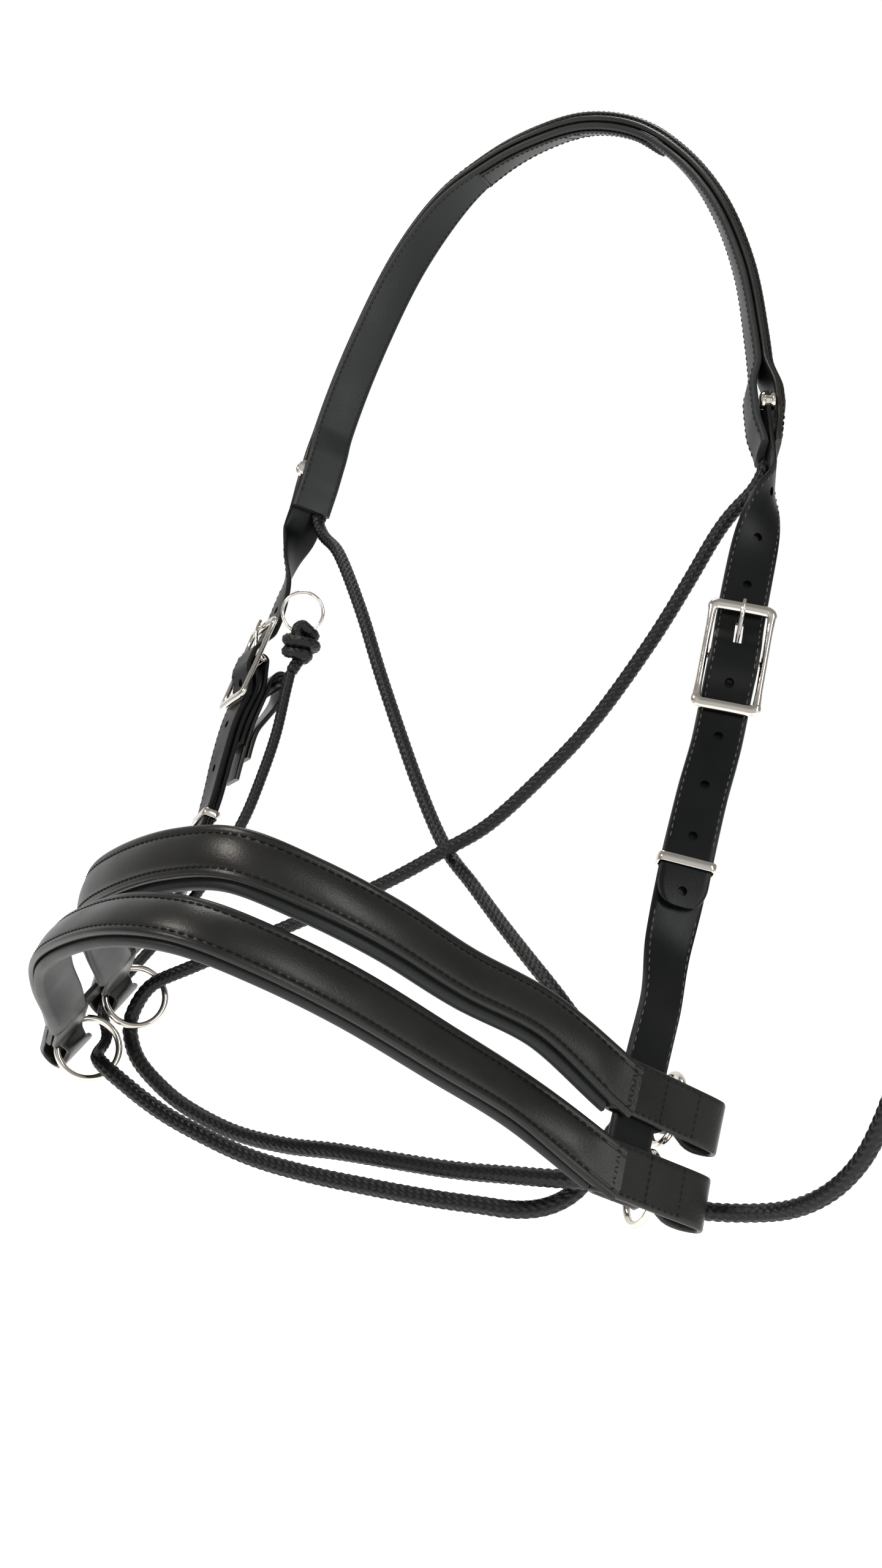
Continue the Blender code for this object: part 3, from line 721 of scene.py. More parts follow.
def knot(side, centre_mm, ring_mm, facing, size, cord_radius, stem):
    """The rope's end knot: up inside, a bight through the ring, two wraps down and a tucked end."""
    centre, at = mm([centre_mm])[0], mm([ring_mm])[0]
    face = unit(facing)
    up = unit(at - centre)
    right = unit(np.cross(face, up))
    sx, sy, sz = np.array(size) - cord_radius
    path = [(0.0, 0.1, -0.75), (-0.20, 0.1, 0.1), (-0.35, 0.0, 0.80), (0.0, 0.0, 1.12),
            (0.42, 0.0, 0.86)]
    for k in range(15):
        a = 0.5 + 2 * math.pi * k / 8
        path.append((math.cos(a), -math.sin(a), 0.52 - 1.30 * k / 14))
    path += [(0.30, 0.55, -0.98), (0.62, 0.30, -1.06)]
    line = [stem] + [centre + right * x * sx - face * y * sy + up * z * sz for x, y, z in path]
    obj, _ = braid(f"rein_knot_braid_{side}", curve_through(line, 10), lambda x: cord_radius,
                   ROPE_BLACK, step=0.0006, around=40)
    return dressed(obj, "rope_black", f"rein_knot_{side}")


knot_far = knot("far", (-100, -110, -266), (-99.5, -109.5, -251), (-0.61, 0.79, 0.0),
                (0.0096, 0.0086, 0.0106), 0.0030, path_1[-3])
knot_near = knot("near", (222, -175.5, -410), (224, -175, -395), (-0.40, 0.90, 0.0),
                 (0.0098, 0.0098, 0.0112), 0.0034, path_2[-3])

# the short tail goes from the knot through the far hanging loop
cheek_mm = {
    "near": [
        (130, -73.5, -194.5), (129, -79, -206), (128, -85, -218), (127, -93, -236),
        (127, -103, -257), (127, -111.6, -277), (127, -120.3, -297), (127, -130.6, -318),
        (127, -143, -337), (127.5, -155, -357), (128, -166, -379), (129, -181, -410),
        (128, -193, -435), (128, -206, -460), (128.6, -216.4, -480.6),
    ],
    "far": [
        (-126, -73.5, -196.5), (-127, -78, -207), (-128, -83, -219), (-128, -88, -235),
        (-128, -96, -252), (-128, -105.9, -267), (-128, -118, -285.6), (-128, -130, -304),
        (-128, -138, -322), (-128, -146, -343), (-127, -158, -365), (-124, -174, -387),
        (-124, -191, -402), (-128, -206, -415.5), (-132, -221.5, -429.5), (-136.7, -237.4, -443.8),
    ],
}
CHEEK_TURN = [124, 108, 74, 42, 32, 32, 32, 32, 32, 36, 46]
FOOT_ACROSS = {"near": [(0.395, 0.790, -0.470)] * 4, "far": [(-0.660, 0.700, -0.270)] * 5}
cheek = {}
for side, sign in SIDES:
    across = [(x * sign, y, z) for x, y, z in (az(a) for a in CHEEK_TURN)]
    cheek[side] = Track(mm(cheek_mm[side]), across + FOOT_ACROSS[side], outward=-sign)
BAR_S = {"near": 0.0985, "far": 0.0892}
KEEPER_S = {"near": 0.1905, "far": 0.1725}
TIP_S = {"near": 0.2085, "far": 0.2040}

track, bar = cheek["far"], BAR_S["far"]
tail_line = [track.point(bar + 0.0060, w / 1000, -0.0125) for w in (10, 5, 0, -5, -10)]
tail_line += list(mm([(-107, -114, -284), (-102.5, -113, -279)]))
tail, _ = braid("rope_tail_braid", curve_through(tail_line, 10), lambda x: 0.0023, ROPE_BLACK,
                step=0.0006, around=32)
dressed(tail, "rope_black", "rope_tail_far")

# ---------------------------------------------------------------- crown
CROWN_MM = [
    (126, -76, -194), (119, -66, -169), (111, -55, -138), (99, -41, -102), (82, -29, -68),
    (58, -16, -37), (30, -6, -13), (0, -1, -1), (-28, 0, -1), (-54, -4, -10), (-78, -11, -28),
    (-97, -24, -60), (-110, -41, -103), (-118, -58, -147), (-122, -76, -196),
]
CROWN_ACROSS = [
    az(124), az(124), az(122), az(118), az(112), az(104, 0.1), az(97, 0.2), az(92, 0.25),
    az(88, 0.25), az(84, 0.2), az(74, 0.1), az(66), az(60), az(56), az(56),
]
crown = Track(mm(CROWN_MM), CROWN_ACROSS)
END = crown.length
POCKET = [(0.000, 0.0014), (0.016, 0.0036), (0.030, 0.0036), (0.046, 0.0002)]


def pocket(s):
    """How far the crown and its lining stand apart at s, for the billets between them."""
    return ramp(min(s, END - s), POCKET)


rows = np.arange(0, END + 0.001, 0.002)
flat_section = profile(HALF, CROWN_T, top=crease(HALF), marks=(HALF - EDGE,))
dressed(strap("crown_leather", crown, rows, lambda s: flat_section,
              lambda s: pocket(s) + CROWN_T / 2, STRAP_BLACK), "strap_black", "crown_strap")
soft_section = profile(HALF, LINING_T, r=0.0013, under=lambda w: 0.0005 * math.cos(w / HALF * 1.5))
dressed(strap("crown_lining_leather", crown, rows, lambda s: soft_section,
              lambda s: -pocket(s) - LINING_T / 2, PAD_BLACK), "pad_black", "crown_lining")


def tipped(half, thick, s0, s1, tip, top):
    """A strap's section at s, drawn in where its ends are rounded."""

    def section(s):
        far = min(s - s0, s1 - s)
        k = 1.0
        if far < tip:
            k = 0.30 + 0.70 * math.sqrt(max(0.0, 1 - (1 - far / tip) ** 2))
        return [(w * k, v) for w, v in profile(half, thick, top=top)]

    return section


def tip_rows(s0, s1, tip, step=0.002):
    fine = [s0 + tip * k for k in (0, 0.04, 0.12, 0.25, 0.45, 0.7, 1)]
    last = [s1 - tip * k for k in (1, 0.7, 0.45, 0.25, 0.12, 0.04, 0)]
    return fine + list(np.arange(s0 + tip + step, s1 - tip - step / 2, step)) + last


s0, s1 = 0.020, END - 0.020
OVERLAY_HALF, OVERLAY_TIP = 0.00675, 0.004
SEWN_T = 0.0012  # thickness of the strips sewn on the crown
SEWN_LIFT = 0.0008
dressed(
    strap("crown_overlay_leather", crown, tip_rows(s0, s1, OVERLAY_TIP),
          tipped(OVERLAY_HALF, SEWN_T, s0, s1, OVERLAY_TIP,
                 lambda w: 0.0005 * math.cos(w / OVERLAY_HALF)),
          lambda s: pocket(s) + CROWN_T + GAP + SEWN_LIFT, STRAP_BLACK),
    "strap_black", "crown_overlay")


def under_crown(s, w, proud, crosswise=False):
    """A stitch's seat on the crown's inner face, standing proud of the lining."""
    p, t, across, n = crown.at(s)
    return p + across * w - n * (pocket(s) + LINING_T + proud), across if crosswise else t, -n


seats = []
for w in (-0.0052, 0.0052):
    seats += along_track(crown, 0.024, END - 0.024, w, lambda s: pocket(s) + CROWN_T + 0.00195,
                         0.0031)
for w in (-0.0088, 0.0088):
    seats += along_track(crown, 0.006, END - 0.006, w, lambda s: pocket(s) + CROWN_T + 0.0001,
                         0.0032)
for w in (-0.0082, 0.0082):
    seats += [under_crown(s, w, 0.00015) for s in np.arange(0.006, END - 0.006, 0.0032)]
stitches("crown_stitching", seats, THREAD, THREAD_BLACK)
STRIP_END, STRIP_HALF = 0.206, 0.0075
strip_section = profile(STRIP_HALF, SEWN_T,
                        under=lambda w: 0.0004 * math.cos(w / STRIP_HALF * 1.5))
dressed(strap("crown_strip_leather", crown, np.arange(STRIP_END, END - STRIP_END, 0.002),
              lambda s: strip_section, lambda s: -pocket(s) - LINING_T - GAP - SEWN_LIFT,
              STRAP_BLACK), "strap_black", "crown_lining_strip")
seats = []
for s in (STRIP_END + 0.003, STRIP_END + 0.055, END - STRIP_END - 0.055, END - STRIP_END - 0.003):
    seats += [under_crown(s, w, 0.0020, True) for w in np.arange(-0.006, 0.0061, 0.0024)]
for w in (-0.0062, 0.0062):
    seats += [under_crown(s, w, 0.0019)
              for s in np.arange(STRIP_END + 0.003, END - STRIP_END - 0.003, 0.0031)]
stitches("crown_strip_stitching", seats, STRIP_THREAD, THREAD_BLACK)
seats = []
for s_mid in (0.0040, 0.0075, END - 0.0075, END - 0.0040):
    seats += zigzag(crown, s_mid, 0.0022, 0.0085, pocket(s_mid) + CROWN_T + 0.0001, 9)
stitches("crown_end_zigzag", seats, ZIGZAG_THREAD, THREAD_BLACK)


def spin(name, place, axis, outline, mat, sides):
    """A turned solid: outline gives (radius, height along the axis)."""
    a = unit(axis)
    u = unit(np.cross(a, (0.2, 0.9, 0.1)))
    v = np.cross(a, u)
    rows = [
        [place + a * h + (u * math.cos(x) + v * math.sin(x)) * max(r, 0.00002)
         for x in angles(sides)]
        for r, h in outline
    ]
    return loft(name, rows, mat, angle=35)


GEM = [(0.0, -0.0032), (0.0022, -0.0032), (0.0028, -0.0027), (0.0030, -0.0018),
       (0.0026, -0.0012), (0.0022, -0.0010), (0.0022, 0.0008), (0.0027, 0.0012),
       (0.0030, 0.0018), (0.0028, 0.0027), (0.0020, 0.0032), (0.0, 0.0032)]
GEM_WIDER = 1.35
GEM_S, GEM_W = 0.021, -0.0088  # from the crown's end, and across it
for side, sign in SIDES:
    s = GEM_S if side == "near" else END - GEM_S
    outline = [(r * GEM_WIDER, h) for r, h in GEM]
    dressed(spin(f"crown_chrome_{side}", crown.point(s, GEM_W), crown.at(s)[3], outline, CHROME,
                 10), "chrome", f"crown_rivet_{side}")

# ---------------------------------------------------------------- cheeks
HOLE = 0.0038
HOLE_PITCH = 0.0230
TONGUE_HOLE = 0.0112  # how far above the bar the tongue's hole is
TONGUE_SLOT = (0.0112, 0.0034, 0.012)
FOLD_SLOT = (0.0104, 0.0028, 0.014)
STITCH_W = 0.0084  # how far the sewn lines are from a strap's middle
TIP = 0.010  # length of a billet's rounded end
LOOP_HALF, LOOP_T = 0.0090, 0.0022
BUCKLE_LONG, BUCKLE_WIDE = 0.0222, 0.0121  # half its wire's length and width, middle to middle
KEEPER_WIDE, KEEPER_DEEP = 0.0110, 0.0038
BILLET_RISE = [(-0.0180, 0.0), (-0.003, 0.0055), (0.003, 0.0055), (0.0175, 0.0)]
FOLD_MM = [
    (26, -3.2), (18, -3.2), (12, -2.3), (7, 0.3), (3.5, 2.2), (0, 2.85), (-2.0, 2.0), (-2.85, 0),
    (-2.0, -2.0), (0, -2.85), (4, -4.0), (9, -5.5), (14, -6.1), (24, -6.1), (34, -6.1), (44, -6.1),
]
LOOP_MM = [
    (62, -8.9), (50, -8.9), (38, -8.9), (28, -8.8), (16, -8.7), (7, -8.7), (1.5, -10.0),
    (-0.5, -12.8), (2, -15.9), (8, -17.3), (16, -16.4), (26, -14.0), (34, -12.1), (42, -11.7),
    (50, -11.7),
]
TONGUE_MM = [
    (-2.35, -0.9), (-1.3, -2.15), (0.6, -2.45), (2.2, -1.2), (2.4, 0.7), (1.0, 2.25), (-2.0, 2.45),
    (-7.0, 2.4), (-12, 4.0), (-17, 5.9), (-21, 6.5), (-24.5, 6.6),
]


def side_line(track, bar, points, n=5):
    """Places, widths' directions and normals along a line seen from the strap's edge."""
    flat = curve_through([(a / 1000, b / 1000, 0.0) for a, b in points], n)
    places = np.array([track.point(bar + a, 0, b) for a, b, _ in flat])
    across = np.array([track.at(bar + a)[2] for a, _, _ in flat])
    t = unit(np.gradient(places, axis=0))
    return places, across, np.cross(across, t)


def on_cheek(side, s):
    """Where the lower strap lies at s: behind the billet, and on the track near its foot."""
    foot = cheek[side].length - 0.070
    return -LOWER * (1 - ramp(s, [(foot - 0.030, 0.0), (foot, 1.0)]))


def rounded(points, radius, n):
    """A closed outline of (x, y) with its corners rounded."""
    p = np.array(points, float)
    out = []
    for i, corner in enumerate(p):
        before, after = unit(p[i - 1] - corner), unit(p[(i + 1) % len(p)] - corner)
        a, b = corner + before * radius, corner + after * radius
        for k in range(n + 1):
            t = k / n
            out.append((1 - t) ** 2 * a + 2 * t * (1 - t) * corner + t * t * b)
    return out


def corners(x, y):
    return [(-x, -y), (x, -y), (x, y), (-x, y)]


for side, sign in SIDES:
    track, bar, tip = cheek[side], BAR_S[side], TIP_S[side]
    edge = crease(HALF)
    billet_section = tipped(HALF, LEATHER, -1.0, tip, TIP, edge)
    rows = list(np.arange(0.012, tip - TIP, 0.0015))
    rows += [tip - TIP * k for k in (1, 0.85, 0.7, 0.55, 0.4, 0.28, 0.18, 0.1, 0.04, 0)]

    def rise(s, bar=bar):
        return ramp(s - bar, BILLET_RISE)

    inside = [0.026, 0.016, 0.006] if side == "near" else [END - 0.026, END - 0.016, END - 0.006]
    lead = [np.hstack([crown.point(s), crown.at(s)[2]]) for s in inside]
    lead += [np.hstack([track.point(s), track.at(s)[2]]) for s in (0.012, 0.022)]
    lead = curve_through(lead, 6)[:18]
    t_lead = unit(np.gradient(lead[:, :3], axis=0))
    n_lead = np.cross(unit(lead[:, 3:]), t_lead)
    n_lead *= np.sign(np.dot(n_lead[-1], track.at(0.012)[3]))
    solid = band_rows(lead[:, :3], unit(lead[:, 3:]), n_lead, lambda i: billet_section(0.0))
    for s in rows:
        place, _, w, n = track.at(s)
        solid.append([place + w * a + n * (b + rise(s)) for a, b in billet_section(s)])
    billet = loft(f"billet_leather_{side}", solid, SMOOTH_BLACK)
    tools = []
    for k in range(9):
        s = bar - TONGUE_HOLE + HOLE_PITCH * (k - 3)
        if k == 3 or s > tip - 0.006:
            continue
        place, n = track.point(s, 0, rise(s)), track.at(s)[3]
        tools.append(bore(place + n * 0.0032, n, HOLE / 2, 0.008))
    s = bar - TONGUE_HOLE
    p, t, w, n = track.at(s)
    tools.append(block(track.point(s + 0.0008, 0, 0.003), (t, w), TONGUE_SLOT))
    carve(billet, tools)
    dressed(billet, "billet_black", f"billet_{side}")
    seats = []
    for w in (-STITCH_W, STITCH_W):
        for s0, s1 in ((0.014, KEEPER_S[side] - 0.008), (KEEPER_S[side] + 0.008, tip - TIP)):
            seats += along_track(track, s0, s1, w, lambda s: rise(s) + LEATHER / 2, 0.0034)
    stitches(f"billet_stitching_{side}", seats, FINE_THREAD, THREAD_GREY)

    # the lower strap: foot, up behind the billet, round the bar and back down
    low = np.arange(track.length, bar + 0.030, -0.002)
    places = [track.point(s, 0, on_cheek(side, s)) for s in low]
    normals = [track.at(s)[3] for s in low]
    across = [track.at(s)[2] for s in low]
    fold, fold_across, fold_normals = side_line(track, bar, FOLD_MM)
    sense = 1 if np.dot(fold_normals[0], normals[-1]) > 0 else -1
    places, across = places + list(fold), across + list(fold_across)
    normals += list(fold_normals * sense)
    lower_section = profile(HALF, LEATHER, top=edge)
    lower = loft(f"cheek_leather_{side}",
                 band_rows(places, across, normals, lambda i: lower_section), SMOOTH_BLACK)
    p, t, w, n = track.at(bar)
    carve(lower, [block(p - t * 0.0007, (t, w), FOLD_SLOT)])
    dressed(lower, "billet_black", f"cheek_strap_{side}")
    seats = []
    for w_edge in (-STITCH_W, STITCH_W):
        seats += along_track(track, tip + 0.004, track.length - 0.052, w_edge,
                             lambda s: on_cheek(side, s) + LEATHER / 2, 0.0034)
    for w_at in np.arange(-0.0072, 0.0073, 0.0029):
        for s in (bar + 0.0275, bar + 0.041):
            place, _, w, n = track.at(s)
            seats.append((place + w * w_at + n * (on_cheek(side, s) - 0.0044 - LEATHER), w, -n))
    stitches(f"cheek_stitching_{side}", seats, FINE_THREAD, THREAD_GREY)

    # buckle frame: a bowed frame with thicker end bars, and the centre bar between its rails
    p, t, w, n = track.at(bar)
    outline = rounded(corners(BUCKLE_LONG, BUCKLE_WIDE), 0.0030, 8)
    line = np.vstack([np.linspace(a, b, 7)[:-1] for a, b in
                      zip(outline, outline[1:] + outline[:1])])
    rows = []
    for (x, y), way in zip(line, ways(line)):
        end_bar = ramp(abs(x), [(0.0180, 0.0), (0.0215, 1.0)])
        wide = 0.00135 + 0.0011 * end_bar
        high = 0.0013 + 0.0002 * end_bar
        place = p + t * x + w * y + n * (0.0033 + 0.0004 * math.cos(y / BUCKLE_WIDE * 1.5))
        o = t * way[1] - w * way[0]
        rows.append([place + o * wide * math.cos(a) + n * high * math.sin(a)
                     for a in angles(14)])
    wire = loft(f"buckle_chrome_{side}", rows, CHROME, closed=True)
    posts = [p + w * y + n * v for y, v in
             [(-0.0121, 0.0032), (-0.0120, 0.0016), (-0.0114, 0.0004), (-0.0104, 0.0),
              (0.0, 0.0), (0.0104, 0.0), (0.0114, 0.0004), (0.0120, 0.0016), (0.0121, 0.0032)]]
    centre = sweep(f"buckle_bar_{side}", curve_through(posts, 5), 0.00130, CHROME, 14)
    for obj in (wire, centre):
        dressed(obj, "chrome", f"buckle_frame_{side}")
    line = curve_through([(a / 1000, b / 1000) for a, b in TONGUE_MM], 6)
    thin = [0.0009 * (1 if i < len(line) - 6 else 0.75 + 0.25 * (len(line) - 1 - i) / 6)
            for i in range(len(line))]
    dressed(sweep(f"tongue_chrome_{side}", [p + t * a + n * b for a, b in line], thin, CHROME, 14,
                  body=f"buckle_tongue_{side}"), "chrome", f"buckle_tongue_{side}")

    # hanging loop: a folded strap with the loop standing inside the cheek
    loop, loop_across, loop_normals = side_line(track, bar, LOOP_MM)
    loop_section = profile(LOOP_HALF, LOOP_T, top=crease(LOOP_HALF))
    dressed(loft(f"hanging_loop_leather_{side}",
                 band_rows(loop, loop_across, loop_normals, lambda i: loop_section),
                 STRAP_BLACK), "strap_black", f"hanging_loop_{side}")

    # keeper: a thin flat band bent round the strap
    s = KEEPER_S[side]
    p, t, w, n = track.at(s)
    middle = p - n * (LOWER / 2)
    outline = rounded(corners(KEEPER_WIDE, KEEPER_DEEP), 0.0022, 7)
    rows = []
    for (x, y), way in zip(outline, ways(outline)):
        o = w * way[1] - n * way[0]
        place = middle + w * x + n * y
        rows.append([place + o * a + t * b for a, b in
                     ((-0.0005, -0.0015), (-0.0005, 0.0015), (-0.0003, 0.0018), (0.0003, 0.0018),
                      (0.0005, 0.0015), (0.0005, -0.0015), (0.0003, -0.0018), (-0.0003, -0.0018))])
    dressed(loft(f"keeper_chrome_{side}", rows, CHROME, closed=True, body=f"keeper_{side}"),
            "chrome", f"keeper_{side}")

# ---------------------------------------------------------------- end bands, rings and nosebands
BAND_MM = [
    (-9, 0), (0, 0), (9, 0), (18, 0), (27, 0), (32, -1.7), (34.4, -5.7), (32, -9.8), (27, -11.5),
    (19, -11.5), (14, -10.2), (11, -7.0), (7, -5.6), (0, -5.5), (-9, -5.5), (-11.7, -4.7),
    (-12.5, -2.75), (-11.7, -0.8),
]
RING_U = {("upper", "near"): 0.0250, ("lower", "near"): 0.0215,
          ("upper", "far"): 0.0145, ("lower", "far"): 0.0145}
RING_UP = {("upper", "near"): 0.0030, ("lower", "near"): 0.0010,
           ("upper", "far"): 0.0015, ("lower", "far"): 0.0015}
RING_TILT = {"near": 18, "far": 4}
BAND_LONGER = {"near": 7, "far": 0}
LEVEL = {("upper", "near"): 0.0390, ("lower", "near"): 0.0093,
         ("upper", "far"): 0.0415, ("lower", "far"): 0.0100}
band_frame = {}
for side, sign in SIDES:
    track, more = cheek[side], BAND_LONGER[side]
    for row in ("upper", "lower"):
        p, t, w, n = track.at(track.length - LEVEL[row, side])
        at = p + n * (LEATHER / 2 + GAP + BAND_T / 2 + 0.0002)
        band_frame[row, side] = (at, w, -t, n)
        outline = [(a + more * (a > 24), b) for a, b in BAND_MM + BAND_MM[:1]]
        flat = curve_through([(a / 1000, b / 1000) for a, b in outline], 6)[:-1]
        rows = []
        for (a, b), way in zip(flat, ways(flat)):
            out = n * way[0] - w * way[1]
            half = HALF
            if b < -0.0058:
                half -= 0.0042 * math.exp(-(((a - RING_U[row, side]) / 0.0060) ** 2))
            section = profile(half, BAND_T, top=crease(half))
            place = at + w * a + n * b
            rows.append([place - t * x + out * y for x, y in section])
        name = f"{row}_{side}"
        dressed(loft(f"end_band_leather_{name}", rows, STRAP_BLACK, closed=True), "strap_black",
                f"end_band_{name}")
        seats = []
        face = at + n * (BAND_T / 2)
        turns = 9
        for k in range(turns):
            ya, yb = (-STITCH_W + 2 * STITCH_W * j / turns for j in (k, k + 1))
            xa, xb = ((-0.0092, -0.0052), (-0.0052, -0.0092))[k % 2]
            one = face + w * xa - t * ya + n * 0.0009
            two = face + w * xb - t * yb + n * 0.0009
            seats.append(((one + two) / 2, two - one, n))
        for x in (0.0090, 0.0250) if side == "near" else (0.0090, 0.0190):
            for y in np.arange(-0.0078, 0.0079, 0.0026):
                seats.append((face + w * x - t * y, t, n))
        for y in (-0.0083, 0.0083):
            for x in np.arange(-0.0020, 0.0260, 0.0030):
                seats.append((face + w * x - t * y, w, n))
        stitches(f"end_band_stitching_{name}", seats, BAND_THREAD, THREAD_BLACK)

        centre = at + w * RING_U[row, side] - t * RING_UP[row, side] - n * 0.0163
        tilt = math.radians(RING_TILT[side])
        normal = unit(w * math.cos(tilt) + n * math.sin(tilt))
        one = unit(np.cross(normal, (0.1, 0.2, 1.0)))
        two = np.cross(normal, one)
        rows = ring_rows(centre, one, two, NOSE_RING_R, NOSE_RING_WIRE, 96, 20)
        dressed(loft(f"nose_ring_chrome_{name}", rows, CHROME, closed=True,
                     body=f"nose_ring_{name}"), "chrome", f"nose_ring_{name}")

NOSE_MM = {
    "upper": [
        (107, -228, -416), (92, -257, -399), (79, -284, -381), (62, -305, -367),
        (40, -319, -357), (10, -318, -358), (-25, -308, -365), (-58, -291, -375),
        (-82, -267, -388), (-101, -240, -403),
    ],
    "lower": [
        (105, -241, -444), (91, -272, -423), (77, -302, -403), (60, -325, -388),
        (38, -339, -378), (8, -338, -377), (-27, -326, -383), (-60, -309, -393),
        (-85, -286, -407), (-106, -261, -421),
    ],
}
NOSE_ACROSS = {
    "upper": [
        (-0.16, 0.60, 0.79), (-0.12, 0.62, 0.77), (-0.10, 0.60, 0.79), (-0.10, 0.52, 0.85),
        (-0.10, 0.44, 0.89), (-0.10, 0.39, 0.92), (-0.10, 0.36, 0.93), (-0.05, 0.38, 0.92),
        (0.05, 0.46, 0.89), (0.12, 0.57, 0.81),
    ],
    "lower": [
        (-0.16, 0.60, 0.79), (-0.12, 0.64, 0.76), (-0.08, 0.70, 0.71), (-0.04, 0.74, 0.67),
        (0, 0.75, 0.66), (0, 0.75, 0.66), (0.04, 0.74, 0.67), (0.08, 0.70, 0.70),
        (0.14, 0.66, 0.72), (0.18, 0.66, 0.70),
    ],
}
PAD_DROP = {"upper": 0.0024, "lower": 0.0008}
NOSE_HALF, PAD_HALF = NOSE_W / 2, PAD_W / 2
SEAM_W = 0.0063  # how far the nosebands' sewn lines are from their middle


def nose_top(w):
    """A raised padded middle between two sewn lines."""
    k = abs(w) / NOSE_HALF
    high = 0.0009 * math.cos(min(k / 0.62, 1) * math.pi / 2) ** 0.7 if k < 0.62 else 0.0
    return high - 0.00025 * math.exp(-(((abs(w) - SEAM_W) / 0.00045) ** 2))


def nose_section_at(s):
    """The section at s: the raised middle sinks to a flat end where it is sewn to the band."""
    k = ramp(min(s, track.length - s), [(0.003, 0.0), (0.016, 1.0)])
    return [(w, v if v < NOSE_T / 2 else NOSE_T / 2 + (v - NOSE_T / 2) * k)
            for w, v in nose_section]


def pad_under(w):
    """How far the pad's inner face swells at w."""
    return 0.0011 * math.cos(w / PAD_HALF * math.pi / 2)


nose_section = profile(NOSE_HALF, NOSE_T, top=nose_top,
                       marks=(SEAM_W, SEAM_W - 0.0005, SEAM_W + 0.0005))
pad_section = profile(PAD_HALF, PAD_T, under=pad_under, r=0.0017)
for row in ("upper", "lower"):
    a, ua, wa, _ = band_frame[row, "near"]
    b, ub, wb, _ = band_frame[row, "far"]
    points = np.vstack([a - ua * 0.0100, mm(NOSE_MM[row]), b - ub * 0.0100])
    track = Track(points, np.vstack([wa, NOSE_ACROSS[row], wb]))
    rows = np.arange(-0.008, track.length + 0.009, 0.002)
    band = strap(f"noseband_leather_{row}", track, rows, nose_section_at, 0.0, STRAP_BLACK)
    low_section = [(w - PAD_DROP[row], v) for w, v in pad_section]
    pad = strap(f"noseband_pad_leather_{row}", track, rows, lambda s: low_section,
                -(NOSE_T + PAD_T) / 2 - GAP, PAD_BLACK)
    for obj, short in ((band, 0.0046), (pad, 0.0138)):
        trim(obj, a - ua * short, ua)
        trim(obj, b - ub * short, ub)
    dressed(band, "strap_black", f"noseband_{row}")
    dressed(pad, "pad_black", f"noseband_pad_{row}")
    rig.padded(pad, 0.85)
    seats = []
    for w in (-SEAM_W, SEAM_W):
        seats += along_track(track, 0.006, track.length - 0.006, w, NOSE_T / 2, 0.0031)
    stitches(f"noseband_stitching_{row}", seats, THREAD, THREAD_BLACK)

# ---------------------------------------------------------------- rein rings
rein_ring = {}
for side, place, facing, knot_at in (
    ("far", (-99.5, -109.5, -251), (-0.61, 0.79, 0.0), (-100, -110, -266)),
    ("near", (224, -175, -395), (-0.40, 0.90, 0.0), (222, -175.5, -410)),
):
    at, knot_place = mm([place, knot_at])
    normal = unit(facing)
    one = unit(np.cross(normal, at - knot_place))
    two = np.cross(normal, one)
    rows = ring_rows(at, one, two, REIN_RING_R, REIN_RING_WIRE, 80, 16)
    rein_ring[side] = loft(f"rein_ring_chrome_{side}", rows, CHROME, closed=True,
                           body=f"rein_ring_{side}")
    dressed(rein_ring[side], "chrome", f"rein_ring_{side}")

# ---------------------------------------------------------------- the ropes as free cords
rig.cord(rope_1, path_1[0], length_of(path_1), 0.0064, "knot", stiffness="medium", lay="hanging",
        path=path_1, with_pieces=(knot_far, tail, rein_ring["far"]))
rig.cord(rope_2, path_2[0], length_of(path_2), 0.0067, "knot", stiffness="medium", lay="hanging",
        path=path_2, with_pieces=(knot_near, rein_ring["near"]))

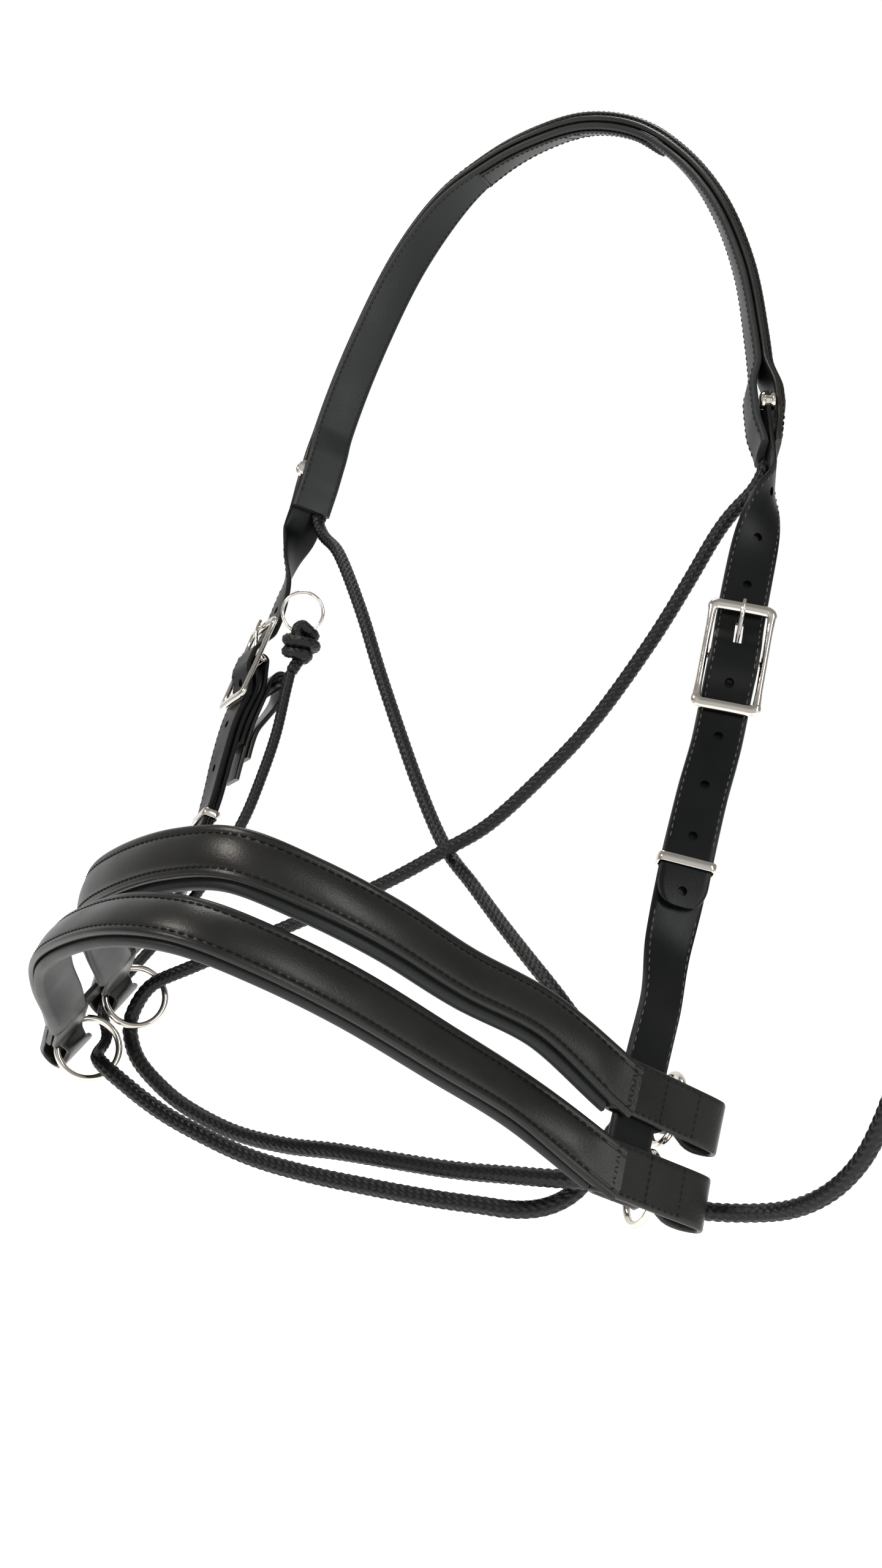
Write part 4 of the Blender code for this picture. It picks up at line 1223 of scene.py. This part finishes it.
# ---------------------------------------------------------------- stage, light
floor_mat, tree, shader = new_material("floor_white")
where = node(tree, "TexCoord").outputs["Object"]
faint = node(tree, "TexNoise", {"Vector": where, "Scale": 3.0})
mix = node(tree, "Mix", {"Factor": faint.outputs["Fac"], "A": (0.93, 0.93, 0.93, 1),
                                   "B": (0.96, 0.96, 0.96, 1)}, data_type="RGBA")
tree.links.new(mix.outputs["Result"], shader.inputs["Base Color"])
shader.inputs["Roughness"].default_value = 0.9
shader.inputs["Specular IOR Level"].default_value = 0.0
shader.inputs["Emission Color"].default_value = (1.0, 1.0, 1.0, 1)
shader.inputs["Emission Strength"].default_value = 0.60
floor = add("floor", [(-6, -6, -0.62), (6, -6, -0.62), (6, 6, -0.62), (-6, 6, -0.62)],
            [(0, 1, 2, 3)], floor_mat, body=None, smooth=False)
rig.stage(floor)
world = bpy.data.worlds.new("studio")
scene.world = world
world.use_nodes = True
sky = world.node_tree
toward = node(sky, "VectorMath", {0: node(sky, "TexCoord").outputs["Generated"],
                                            1: (-0.559, 0.829, 0.0)}, operation="DOT_PRODUCT")
share = node(sky, "MapRange", {"Value": toward.outputs["Value"], "From Min": 0.35,
                                         "From Max": 0.80})
back = node(sky, "MapRange", {"Value": toward.outputs["Value"], "From Min": -0.55,
                                        "From Max": -0.85, "To Max": 0.55})
share = node(sky, "Math", {0: share.outputs["Result"], 1: back.outputs["Result"]},
             operation="ADD")
tone = node(sky, "Mix", {"Factor": share.outputs["Value"],
                                   "A": (0.34, 0.34, 0.33, 1), "B": (1.0, 1.0, 1.0, 1)},
            data_type="RGBA")
sky.links.new(tone.outputs["Result"], sky.nodes["Background"].inputs["Color"])


def softbox(name, place, target, size, power, colour=(1.0, 1.0, 1.0)):
    """An area light that faces its target."""
    data = bpy.data.lights.new(name, "AREA")
    data.color = colour
    data.shape = "RECTANGLE"
    data.size, data.size_y = size
    data.energy = power
    obj = bpy.data.objects.new(name, data)
    scene.collection.objects.link(obj)
    obj.location = place
    obj.rotation_euler = (Vector(target) - Vector(place)).to_track_quat("-Z", "Y").to_euler()


softbox("key", (-0.35, -1.3, 0.75), (0, -0.15, -0.25), (0.55, 0.26), 15,
        (1.0, 0.93, 0.86))
softbox("side", (1.5, -0.5, 0.3), (0, -0.15, -0.25), (0.20, 0.9), 8)
softbox("top", (-0.3, 0.2, 1.3), (0, -0.1, -0.2), (0.6, 0.35), 9)

final_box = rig.bounds()
with open("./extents.json", "w") as out:
    json.dump({"frame": [list(map(float, v)) for v in cad_box],
               "visual": [list(map(float, v)) for v in final_box]}, out)
